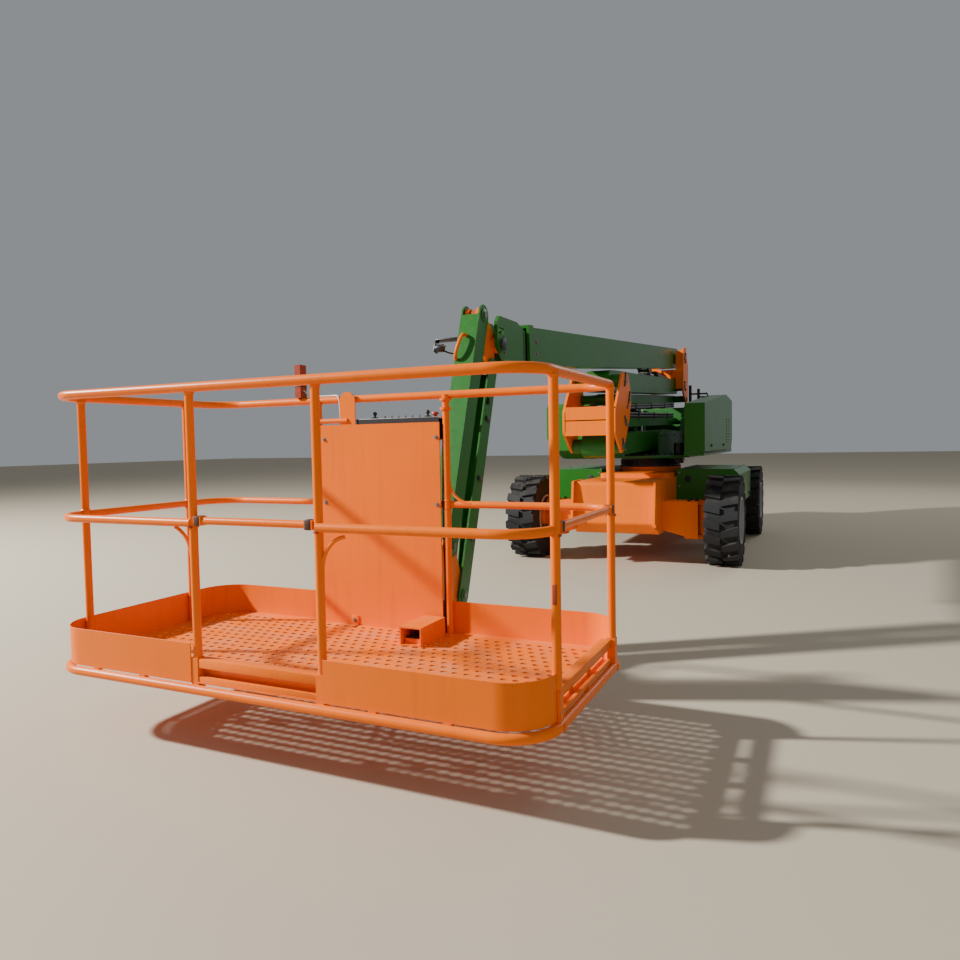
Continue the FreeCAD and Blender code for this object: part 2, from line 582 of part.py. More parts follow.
# Upper link
L = span(*UP_LINK)
link = hull_y([(0, 0, UP_LINK_H / 2), (L, 0, UP_LINK_H / 2)], -UP_LINK_HALF, UP_LINK_HALF)
tubes = [round_y(0, 0, 44, -UP_OUT + PLATE_T + 2, UP_OUT - PLATE_T - 2),
         round_y(L, 0, 44, -PLATE_OUT + PLATE_T + 2, PLATE_OUT - PLATE_T - 2)]
link = lay(fuse([link] + tubes), UP_LINK[0], angle_of(*UP_LINK))
keep("riser_upper_link", cut_pins(link, UP_LINK, LINK_PIN_R + RUN_FIT))

# Mid knuckle: two plates with front cross plates
outline = [(1915, 1152, 75), (2105, 1285, 65), (2105, 1430, 65), (1850, 1735, 70), (1720, 1735, 70), (1632, 1580, 75),
           (1700, 1440, 80)]
plates = both(lambda a, b: hull_y(outline, a, b), PLATE_OUT - PLATE_T, PLATE_OUT)
cross = [block(2030, 2165, YB - PLATE_OUT + PLATE_T - 1, YB + PLATE_OUT - PLATE_T + 1, z0, z0 + 20)
         for z0 in (1290, 1420)]
face = [block(2145, 2165, YB - PLATE_OUT + PLATE_T - 1, YB + PLATE_OUT - PLATE_T + 1, z0, z1)
        for z0, z1 in ((1235, 1365), (1375, 1490))]
knuckle = fuse([plates] + face + cross)
KNUCKLE_PINS = [LOW_ARM[1], UP_ARM[1]]
KNUCKLE_SMALL = [LOW_LINK[1], UP_LINK[1]]
knuckle = cut_pins(knuckle, KNUCKLE_PINS, PIN_R + 0.05)
knuckle = cut_pins(knuckle, KNUCKLE_SMALL, LINK_PIN_R + 0.05)
top = RISER_CYL[1]
knuckle = cut_pins(knuckle, [top], CYL_PIN_R + 0.05)
keep("riser_knuckle", knuckle)
keep("knuckle_pins", [round_y(x, z, PIN_R, YB - 252, YB + 252) for x, z in KNUCKLE_PINS] +
     [round_y(x, z, LINK_PIN_R, YB - 252, YB + 252) for x, z in KNUCKLE_SMALL] +
     pair(lambda a, b: round_y(top[0], top[1], CYL_PIN_R, a, b), RISER_EYE_HALF + 1, 248))

# Upright that carries the telescopic boom and the foot of its lift cylinder
outline = [(-1790, 1735, 78), (-1585, 1860, 80), (-1560, 2330, 60), (-1680, 2355, 65), (-1830, 2150, 60)]
plates = both(lambda a, b: hull_y(outline, a, b), UP_OUT - PLATE_T, UP_OUT)
cross = block(-1530, -1510, YB - UP_OUT + PLATE_T - 1, YB + UP_OUT - PLATE_T + 1, 2005, 2115)
back = block(-1885, -1865, YB - UP_OUT + PLATE_T - 1, YB + UP_OUT - PLATE_T + 1, 1860, 2140)
foot = LIFT_CYL[0]
lug = [(foot[0], foot[1], 42), (-1512, 2110, 4), (-1512, 2010, 4)]
lugs = both(lambda a, b: hull_y(lug, a, b), 62, 82)
flanges = both(lambda a, b: block(-1530, -1510, a, b, 1862, 2362), UP_ARM_HALF + 8, UP_OUT - 1)
upright = fuse([plates, cross, back, lugs, flanges])
UPRIGHT_PINS = [UP_ARM[0], BOOM_PIVOT]
upright = cut_pins(upright, UPRIGHT_PINS, PIN_R + 0.05)
upright = cut_pins(upright, [UP_LINK[0]], LINK_PIN_R + 0.05)
upright = cut_pins(upright, [foot], CYL_PIN_R + 0.05)
keep("boom_upright", upright)
keep("upright_pins", [round_y(x, z, PIN_R, YB - 232, YB + 232) for x, z in UPRIGHT_PINS] +
     [round_y(UP_LINK[0][0], UP_LINK[0][1], LINK_PIN_R, YB - 232, YB + 232)] +
     [round_y(foot[0], foot[1], CYL_PIN_R, YB - 86, YB + 86)])


def cylinder(pins, barrel_r, barrel_len, rod_r, eye_half, eye_r, pin_r, bore_from, rod_from, neck=0.0):
    """Barrel and rod of a hydraulic cylinder laid between two pins; the rod starts inside the bore."""
    length = span(*pins)
    start = max(eye_r * 0.6, neck)
    barrel = Part.makeCylinder(barrel_r, barrel_len - start, V(start, 0, 0), V(1, 0, 0))
    gland = Part.makeCylinder(barrel_r + 5, 30, V(barrel_len - 30, 0, 0), V(1, 0, 0))
    parts = [barrel, gland, round_y(0, 0, eye_r, -eye_half, eye_half)]
    if neck > 0:
        parts.append(block(0, neck + 5, -eye_half, eye_half, -eye_r * 0.8, eye_r * 0.8))
    barrel = fuse(parts)
    bore = Part.makeCylinder(rod_r + 2, barrel_len - bore_from + 60, V(bore_from, 0, 0), V(1, 0, 0))
    seal = Part.makeCylinder(rod_r + 3, 24, V(barrel_len - 24, 0, 0), V(1, 0, 0))
    seal = seal.cut(Part.makeCylinder(rod_r + RUN_FIT, 24, V(barrel_len - 24, 0, 0), V(1, 0, 0)))
    barrel = barrel.cut(bore).fuse(seal)
    barrel = barrel.cut(round_y(0, 0, pin_r + RUN_FIT, -100, 100))
    rod = Part.makeCylinder(rod_r, length - rod_from - pin_r, V(rod_from, 0, 0), V(1, 0, 0))
    rod = fuse([rod, round_y(length, 0, eye_r, -eye_half, eye_half)])
    rod = rod.cut(round_y(length, 0, pin_r + RUN_FIT, -eye_half - 5, eye_half + 5))
    a = angle_of(*pins)
    return lay(barrel, pins[0], a), lay(rod, pins[0], a)


barrel, rod = cylinder(RISER_CYL, 48, 690, 30, RISER_EYE_HALF, 36, CYL_PIN_R, 90, 200)
keep("riser_cylinder_barrel", barrel)
keep("riser_cylinder_rod", rod)
barrel, rod = cylinder(LIFT_CYL, 55, 740, 32, LIFT_EYE_HALF, 40, CYL_PIN_R, 90, 170)
keep("lift_cylinder_barrel", barrel)
keep("lift_cylinder_rod", rod)

# Telescopic boom: outer section with pivot tube, front collar, wear pads and the lug of the lift cylinder
HH, HW = BOOM_H / 2, BOOM_W / 2
outer = block(-BOOM_REAR, BOOM_LEN, -HW, HW, -HH, HH)
outer = outer.fuse(block(BOOM_LEN - 80, BOOM_LEN, -HW - 12, HW + 12, -HH - 12, HH + 12))
outer = outer.cut(block(200, BOOM_LEN + 5, -HW + BOOM_T, HW - BOOM_T, -HH + BOOM_T, HH - BOOM_T))
pivot_tube = round_y(0, 0, 70, -UP_OUT + PLATE_T + 2, UP_OUT - PLATE_T - 2)
outer = fuse([outer, pivot_tube])
outer = lay(outer, BOOM_PIVOT, BOOM_SLOPE)
head = LIFT_CYL[1]
outer = cut_pins(outer, [BOOM_PIVOT], PIN_R + RUN_FIT)
keep("boom_outer", outer)

# Lugs welded under the boom, each with its half of the lift cylinder's pin
grade = math.tan(math.radians(BOOM_SLOPE))
under = BOOM_PIVOT[1] + (head[0] - BOOM_PIVOT[0]) * grade - HH / math.cos(math.radians(BOOM_SLOPE))
root = [(head[0] + x, under + x * grade) for x in (95, -95)]
lug = prism([(head[0] - 38, 0, head[1]), (head[0] + 38, 0, head[1])] + [(x, 0, z) for x, z in root], V(0, 18, 0))
lug = lug.fuse(round_y(head[0], head[1], 38, 0, 18)).removeSplitter()
lugs = []
for y in (YB + 48, YB - 66):
    plate = lug.copy()
    plate.translate(V(0, y, 0))
    pin = pair(lambda a, b: round_y(head[0], head[1], CYL_PIN_R, a, b), LIFT_EYE_HALF + 1, 70)[0 if y > YB else 1]
    lugs.append(fuse([plate, pin]))
keep("lift_cylinder_lugs", lugs)

pads = []
for x0 in (BOOM_LEN - 180,):
    for sgn in (1, -1):
        z0, z1 = sorted((sgn * (FLY_H / 2 + 0.1), sgn * (HH - BOOM_T)))
        pads.append(lay(block(x0, x0 + 160, -50, 50, z0, z1), BOOM_PIVOT, BOOM_SLOPE))
        y0, y1 = sorted((sgn * (FLY_W / 2 + 0.1), sgn * (HW - BOOM_T)))
        pads.append(lay(block(x0, x0 + 160, y0, y1, -60, 60), BOOM_PIVOT, BOOM_SLOPE))
keep("boom_wear_pads", pads)

# Fly section with its nose cheeks and tail pads
fly = block(FLY_TAIL, FLY_NOSE, -FLY_W / 2, FLY_W / 2, -FLY_H / 2, FLY_H / 2)
fly = fly.cut(block(FLY_TAIL - 5, FLY_NOSE - 120, -FLY_W / 2 + 8, FLY_W / 2 - 8, -FLY_H / 2 + 8, FLY_H / 2 - 8))
tail_pads = [block(FLY_TAIL + 20, FLY_TAIL + 160, -40, 40, min(s * FLY_H / 2, s * (HH - BOOM_T - 0.2)),
                   max(s * FLY_H / 2, s * (HH - BOOM_T - 0.2))) for s in (1, -1)]
fly = lay(fuse([fly] + tail_pads), BOOM_PIVOT, BOOM_SLOPE)
cheek = [(NOSE_PIN[0] + x, NOSE_PIN[1] + z) for x, z in ((-390, -71), (-40, -89), (70, -14), (70, 136), (35, 171),
                                                         (-250, 171), (-390, 129))]
cheeks = both(lambda a, b: plate_y(cheek, a, b), FLY_W / 2 - 1, FLY_W / 2 + CHEEK_T)
window = block(NOSE_PIN[0] - 30, NOSE_PIN[0] + 50, YB - 150, YB + 150, NOSE_PIN[1] + 63, NOSE_PIN[1] + 101)
fly = fuse([fly, cheeks.cut(window)])
fly = fly.cut(round_y(NOSE_PIN[0], NOSE_PIN[1], 62, YB - FLY_W / 2 + 1, YB + FLY_W / 2 - 1))
fly = cut_pins(fly, [NOSE_PIN], LINK_PIN_R + 0.05)
keep("boom_fly", fly)
reach = FLY_W / 2 + CHEEK_T + 12
keep("nose_pin", round_y(NOSE_PIN[0], NOSE_PIN[1], LINK_PIN_R, YB - reach, YB + reach))

# Jib base: tongue plates between the nose and the two jib arms
outline = [(JIB_R[0], JIB_R[1], 45), (JIB_F[0], JIB_F[1], 45), (NOSE_PIN[0], NOSE_PIN[1], 50)]
tongue = both(lambda a, b: hull_y(outline, a, b), TONGUE_IN, TONGUE_OUT)
hub = round_y(NOSE_PIN[0], NOSE_PIN[1], 50, YB - FLY_W / 2 + 2, YB + FLY_W / 2 - 2)
spacer = round_y(JIB_R[0], JIB_R[1], 36, YB - TONGUE_IN - 1, YB + TONGUE_IN + 1)
jib_base = fuse([tongue, hub, spacer])
jib_base = cut_pins(jib_base, [NOSE_PIN], LINK_PIN_R + RUN_FIT)
jib_base = cut_pins(jib_base, [JIB_F, JIB_R], JIB_PIN_R + 0.05)
keep("jib_base", jib_base)
keep("jib_head_pins", [round_y(x, z, JIB_PIN_R, YB - JIB_HALF - 12, YB + JIB_HALF + 12) for x, z in (JIB_F, JIB_R)])


def jib_arm(pin, height, web_side):
    """Channel of two walls and one web; web_side +1 is the front."""
    r = height / 2
    walls = both(lambda a, b: hull_y([(0, 0, r), (JIB_LEN, 0, r)], a - YB, b - YB), JIB_HALF - JIB_WALL, JIB_HALF)
    z0, z1 = sorted((web_side * r, web_side * (r - JIB_WALL)))
    web = block(20, JIB_LEN - 20, -JIB_HALF + 1, JIB_HALF - 1, z0, z1)
    arm = lay(fuse([walls, web]), pin, JIB_ANGLE)
    return cut_pins(arm, [pin, jib_end(pin)], JIB_PIN_R + RUN_FIT)


keep("jib_front_arm", jib_arm(JIB_F, JIB_F_H, 1))
keep("jib_rear_arm", jib_arm(JIB_R, JIB_R_H, -1))
barrel, rod = cylinder((JIB_F, JIB_R2), 33, 640, 15, JIB_EYE_HALF, 34, JIB_PIN_R, 62, 600, 150.0)
keep("jib_cylinder_barrel", barrel)
keep("jib_cylinder_rod", rod)

# Platform support: tongue plates, clamp and rotary actuator
outline = [(JIB_R2[0], JIB_R2[1], 44), (ROTATOR_X - 110, 395, 40), (ROTATOR_X - 110, 565, 40),
           (JIB_F2[0], JIB_F2[1], 44)]
tongue = both(lambda a, b: hull_y(outline, a, b), TONGUE_IN, TONGUE_OUT)
clamp = block(ROTATOR_X - 130, ROTATOR_X - 50, YB - 60, YB + 60, 360, 600)
rotator_hole = round_z(ROTATOR_X, YB, ROTATOR_R + 0.05, 300, 700)
support = fuse([tongue, clamp]).cut(rotator_hole)
support = cut_pins(support, [JIB_F2, JIB_R2], JIB_PIN_R + 0.05)
keep("platform_support", support)
keep("support_pins", [round_y(JIB_F2[0], JIB_F2[1], JIB_PIN_R, YB - JIB_HALF - 12, YB + JIB_HALF + 12)] +
     pair(lambda a, b: round_y(JIB_R2[0], JIB_R2[1], JIB_PIN_R, a, b), JIB_EYE_HALF + 1, JIB_HALF + 12))
SHAFT_R = 32.0
actuator = round_z(ROTATOR_X, YB, ROTATOR_R, *ROTATOR_Z)
actuator = actuator.cut(round_z(ROTATOR_X, YB, SHAFT_R + RUN_FIT, 300, 700))
keep("rotary_actuator", actuator)

# Platform frame: bent rails, posts, bumper
X0, X1 = PLAT_X - RAIL_HALF_X, PLAT_X + RAIL_HALF_X
Y0, Y1 = PLAT_Y - RAIL_HALF_Y, PLAT_Y + RAIL_HALF_Y
top_rail = loop_tube(0, TOP_RAIL_Z, RAIL_R)
mid_rail = loop_tube(0, MID_RAIL_Z, POST_R)
mid_rail = mid_rail.cut(block(PLAT_X, X1 + 60, GATE_Y[0], GATE_Y[1], 800, 1000))
mid_rail = mid_rail.cut(block(SIDE_POST_X[0], SIDE_POST_X[1], PLAT_Y, Y1 + 60, 800, 1000))
bumper = loop_tube(BUMPER_OUT, BUMPER_Z, RAIL_R)
spots = []
for x in END_POST_X:
    spots.append((x, Y0 + POST_IN, 0, -1))
for x in SIDE_POST_X:
    spots.append((x, Y1 + POST_OUT, 0, 1))
for y in GATE_Y:
    spots.append((X1 - POST_IN, y, 1, 0))
for y in BACK_POST_Y:
    spots.append((X0 + POST_IN, y, -1, 0))
tubes = []
for x, y, dx, dy in spots:
    tubes.append(round_z(x, y, POST_R, BUMPER_Z - 12, TOP_RAIL_Z))
    tubes.append(Part.makeCylinder(12, 12 + BUMPER_OUT, V(x, y, BUMPER_Z), V(dx, dy, 0)))
blocks = []
for x, y in ((X1 + 6, -900), (X1 + 6, -640), (X1 + 6, 420), (X1 + 6, 700), (X0 - 6, -800), (X0 - 6, 640),
             (X0 - 6, -150)):
    blocks.append(block(x - 10, x + 10, y - 15, y + 15, BUMPER_Z, TOE_Z0))
for y in (Y0 - 6, Y1 + 6):
    blocks.append(block(PLAT_X - 15, PLAT_X + 15, y - 10, y + 10, BUMPER_Z, TOE_Z0))


def grab(x, y, points):
    """Bent rod welded to a post, through points (distance from the post, z)."""
    curve = Part.BSplineCurve()
    curve.interpolate([V(x, y + d, z) for d, z in points])
    path = Part.Wire(curve.toShape())
    ring = Part.Wire(Part.Circle(V(x, y + points[0][0], points[0][1]), curve.tangent(0)[0], 7).toShape())
    return path.makePipeShell([ring], True, False)


grabs = [grab(X1 - POST_IN, GATE_Y[0], [(-12, 745), (-18, 800), (-44, 850), (-92, 884)]),
         grab(X1 - POST_IN, GATE_Y[1], [(12, 740), (18, 795), (48, 845), (104, 874)]),
         grab(X0 + POST_IN, BACK_POST_Y[1], [(12, 1004), (26, 962), (62, 926), (118, 908)])]
clamps = [round_z(X0 + POST_IN, BACK_POST_Y[1], 27, z, z + 10) for z in (1338, 1380)]
feet = [block(X1 - POST_IN - POST_R, X1 + POST_IN, y - POST_R, y + POST_R, BUMPER_Z, SILL_Z + 4) for y in GATE_Y]
feet += [block(x - POST_R, x + POST_R, Y1 - 8, Y1 + POST_OUT + POST_R, BUMPER_Z, SILL_Z + 4) for x in SIDE_POST_X]
cage = fuse([top_rail, mid_rail, bumper] + tubes + blocks + grabs + clamps + feet)
keep("platform_frame", cage)

# Platform deck: floor, toe boards and thresholds
toe = loop_wall(POST_IN - 1, POST_IN - 1 + TOE_T, TOE_Z0, TOE_Z1)
toe = toe.cut(block(PLAT_X, X1 + 60, GATE_Y[0] - POST_R, GATE_Y[1] + POST_R, TOE_Z0 - 1, 600))
toe = toe.cut(block(SIDE_POST_X[0] - POST_R, SIDE_POST_X[1] + POST_R, PLAT_Y, Y1 + 60, TOE_Z0 - 1, 600))
floor = Part.Face(loop_wire(POST_IN, TOE_Z0)).extrude(V(0, 0, FLOOR_T))


def sill(x0, x1, y0, y1, along):
    """Hollow threshold of an entry: flat bar, recessed web and lower lip; x0..x1 and y0..y1 are its plan."""
    if along == "y":
        bar = block(x1 - 42, x1, y0, y1, SILL_Z - 34, SILL_Z)
        web = block(x1 - 34, x1 - 30, y0, y1, TOE_Z0, SILL_Z - 33)
        lip = block(x1 - 14, x1, y0, y1, TOE_Z0, TOE_Z0 + 26)
        return [bar, web, lip]
    bar = block(x0, x1, y1 - 42, y1, SILL_Z - 34, SILL_Z)
    web = block(x0, x1, y1 - 34, y1 - 30, TOE_Z0, SILL_Z - 33)
    for i in range(3):
        x = x0 + (x1 - x0) * (i + 0.5) / 3
        web = web.cut(block(x - 85, x + 85, y1 - 40, y1, TOE_Z0 + 18, SILL_Z - 40))
    return [bar, web, block(x0, x1, y1 - 14, y1, TOE_Z0, TOE_Z0 + 16)]


sills = sill(X0, X1 + 8, GATE_Y[0] + POST_R, GATE_Y[1] - POST_R, "y")
sills += sill(SIDE_POST_X[0] + POST_R, SIDE_POST_X[1] - POST_R, Y0, Y1 + 10, "x")
deck = fuse([toe, floor] + sills).cut(cage)
keep("platform_deck", deck)

# Entry bars that slide up their posts
END = 34.0
x = X1 - POST_IN
bar = Part.makeCylinder(14, GATE_Y[1] - GATE_Y[0] - 2 * POST_R - 1, V(x, GATE_Y[0] + POST_R + 0.5, BAR_Z), V(0, 1, 0))
shoes = [block(x - 17, x + 17, y0, y0 + END, BAR_Z - 17, BAR_Z + 17)
         for y0 in (GATE_Y[0] + POST_R + 0.4, GATE_Y[1] - POST_R - 0.4 - END)]
keep("gate_bar_front", fuse([bar] + shoes))
y = Y1 + POST_OUT
length = SIDE_POST_X[1] - SIDE_POST_X[0] - 2 * POST_R
bar = Part.makeCylinder(14, length - 1, V(SIDE_POST_X[0] + POST_R + 0.5, y, BAR_Z), V(1, 0, 0))
shoes = [block(x0, x0 + END, y - 17, y + 17, BAR_Z - 17, BAR_Z + 17)
         for x0 in (SIDE_POST_X[0] + POST_R + 0.4, SIDE_POST_X[1] - POST_R - 0.4 - END)]
keep("gate_bar_side", fuse([bar] + shoes))

# Back panel, control console, lamp box and foot switch
px = X0 + POST_IN + POST_R
panel = block(px, px + 6, -475, 185, TOE_Z0 + FLOOR_T, 1283)
tongue_top = [block(px, px + 6, -358, -271, 1270, 1398), round_x(px, px + 6, -314.5, 1398, 43.5),
              Part.makeCylinder(12, BACK_POST_Y[0] * -1 - 314.5, V(px + 3, BACK_POST_Y[0], 1303), V(0, 1, 0))]
back = fuse([panel] + tongue_top).cut(cage)
keep("back_panel", max(back.Solids, key=lambda s: s.Volume))
keep("control_console", block(px - 80, px, -268, 180, 1205, 1306))
keep("rail_box", block(X0 - 22, X0 + 28, -628, -594, TOP_RAIL_Z + RAIL_R, 1590))
shoe = block(px + 23, px + 251, 98, 205, TOE_Z0 + FLOOR_T, 389)
shoe = shoe.cut(block(px + 39, px + 261, 104, 199, TOE_Z0 + FLOOR_T + 6, 383))
pedal = block(px + 91, px + 226, 112, 191, TOE_Z0 + FLOOR_T + 5, TOE_Z0 + FLOOR_T + 28)
keep("foot_switch", fuse([shoe, pedal]))

# Yoke that hangs the platform on the rotary actuator's shaft
arms = [hull_z([(ROTATOR_X, YB, 62), (ROTATOR_X + 160, YB - 70, 20), (ROTATOR_X + 160, YB + 70, 20)], z0, z1)
        for z0, z1 in ((ROTATOR_Z[0] - 30, ROTATOR_Z[0] - 4), (ROTATOR_Z[1] + 4, ROTATOR_Z[1] + 30))]
shaft = round_z(ROTATOR_X, YB, SHAFT_R, ROTATOR_Z[0] - 38, ROTATOR_Z[1] + 38)
uprights = [block(ROTATOR_X + 120, X0 - POST_IN + 1, YB + s * 75 - 15, YB + s * 75 + 15, ROTATOR_Z[0] - 30, 930)
            for s in (1, -1)]
strap = block(ROTATOR_X + 120, ROTATOR_X + 132, YB - 90, YB + 90, 420, 600)
yoke = fuse(arms + [shaft, strap] + uprights).cut(cage).cut(deck)
yoke = max(yoke.Solids, key=lambda s: s.Volume)
keep("platform_yoke", yoke)

# Origin of the frame: on the ground, below the middle of the overall length and width
LENGTH_END = X1 + BUMPER_OUT + RAIL_R
SIDE_END = Y0 - BUMPER_OUT - RAIL_R
MIDDLE = V((LENGTH_END + REAR_END) / 2, (TRACK_HALF + TYRE_W / 2 + SIDE_END) / 2, 0)
for name, shape in NODES.items():
    shape.translate(V(0, 0, 0) - MIDDLE)
    shape.exportStep("parts/" + name + ".step")
    print(name, len(shape.Solids), round(sum(s.Volume for s in shape.Solids) / 1e6, 2), "litres",
          "valid" if shape.isValid() else "NOT VALID")
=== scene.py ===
import math
import bmesh
import bpy
from mathutils import Matrix, Vector


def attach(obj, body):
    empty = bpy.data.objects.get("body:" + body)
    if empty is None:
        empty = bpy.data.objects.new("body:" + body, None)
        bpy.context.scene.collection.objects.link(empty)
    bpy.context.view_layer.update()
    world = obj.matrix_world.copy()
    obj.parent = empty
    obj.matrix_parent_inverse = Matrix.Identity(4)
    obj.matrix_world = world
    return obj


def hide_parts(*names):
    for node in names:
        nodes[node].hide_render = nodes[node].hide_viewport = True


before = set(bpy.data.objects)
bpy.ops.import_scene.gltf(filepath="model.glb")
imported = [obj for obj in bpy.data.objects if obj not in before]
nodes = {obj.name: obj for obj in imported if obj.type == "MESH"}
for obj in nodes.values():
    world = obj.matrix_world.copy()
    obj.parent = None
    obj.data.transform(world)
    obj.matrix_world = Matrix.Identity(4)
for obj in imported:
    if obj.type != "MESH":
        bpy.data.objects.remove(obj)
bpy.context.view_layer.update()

scene = bpy.context.scene

# The view: from eye height at the free corner of the work platform, with a short lens held a
# little off level, looking back along the machine.
eye_at = Vector((6.2077, 1.79855, 1.1792))
yaw, pitch, roll = math.radians(204.698), math.radians(-2.7946), math.radians(-1.0122)
ahead = Vector((math.cos(yaw) * math.cos(pitch), math.sin(yaw) * math.cos(pitch), math.sin(pitch)))
level = ahead.cross(Vector((0, 0, 1))).normalized()
above = level.cross(ahead)
right_way = level * math.cos(roll) + above * math.sin(roll)
up_way = above * math.cos(roll) - level * math.sin(roll)
lens = bpy.data.cameras.new("view")
lens.sensor_width = 36.0
lens.lens = 27.7286
lens.clip_end = 200.0
eye = bpy.data.objects.new("view", lens)
eye.matrix_world = Matrix((
    (right_way.x, up_way.x, -ahead.x, eye_at.x),
    (right_way.y, up_way.y, -ahead.y, eye_at.y),
    (right_way.z, up_way.z, -ahead.z, eye_at.z),
    (0, 0, 0, 1)))
scene.collection.objects.link(eye)
scene.camera = eye

# The light: a soft key high on the left, where the sun stood, a weak fill, a lamp behind and an
# even pale sky, over a plain pale concrete floor far larger than the view.
world = bpy.data.worlds.new("pale_sky")
scene.world = world
world.use_nodes = True
world.node_tree.nodes["Background"].inputs["Color"].default_value = (0.90, 0.95, 1.0, 1)
world.node_tree.nodes["Background"].inputs["Strength"].default_value = 0.30
for name, place, aim, size, power in (
        ("key_lamp", (8.0, -12.6, 9.2), (1.5, 0.0, 0.8), 0.8, 6300.0),
        ("fill_lamp", (8.0, 7.0, 5.0), (0.0, 0.0, 1.0), 6.0, 90.0),
        ("back_lamp", (-11.3, 4.0, 8.0), (-2.3, 0.0, 1.5), 5.0, 260.0)):
    lamp = bpy.data.lights.new(name, "AREA")
    lamp.shape = "DISK"
    lamp.size = size
    lamp.energy = power
    stand = bpy.data.objects.new(name, lamp)
    stand.location = place
    stand.rotation_euler = (Vector(aim) - Vector(place)).to_track_quat("-Z", "Y").to_euler()
    scene.collection.objects.link(stand)
floor_half = 60.0
floor_mesh = bpy.data.meshes.new("floor")
floor_mesh.from_pydata([(x * floor_half, y * floor_half, 0)
                        for x, y in ((-1, -1), (1, -1), (1, 1), (-1, 1))], [], [(0, 1, 2, 3)])
floor = bpy.data.objects.new("floor", floor_mesh)
scene.collection.objects.link(floor)
concrete = bpy.data.materials.new("floor_concrete")
concrete.use_nodes = True
surface = concrete.node_tree.nodes["Principled BSDF"]
surface.inputs["Base Color"].default_value = (0.48, 0.41, 0.30, 1)
surface.inputs["Roughness"].default_value = 0.85
floor_mesh.materials.append(concrete)

# Chassis: a welded box beam of steel plate with rounded ends, two cross beams that carry the wheels,
# and the steering knuckles on their kingpins. Sprayed in orange enamel; bolts are bare or plated.
SLEW_X, SLEW_Y = -2.3035, 0.03475
AXLE_X = 1250
KINGPIN_Y = 760
DECK_TOP = 800


def at(x, y, z):
    """A place given in millimetres from the slewing axis, as it stands in the frame."""
    return Vector((x / 1000 + SLEW_X, y / 1000 + SLEW_Y, z / 1000))


def sockets(tree, kind, *labels, way="INPUT"):
    """Named sockets of one kind on the outside of a node tree."""
    for label in labels:
        tree.interface.new_socket(label, in_out=way, socket_type="NodeSocket" + kind)


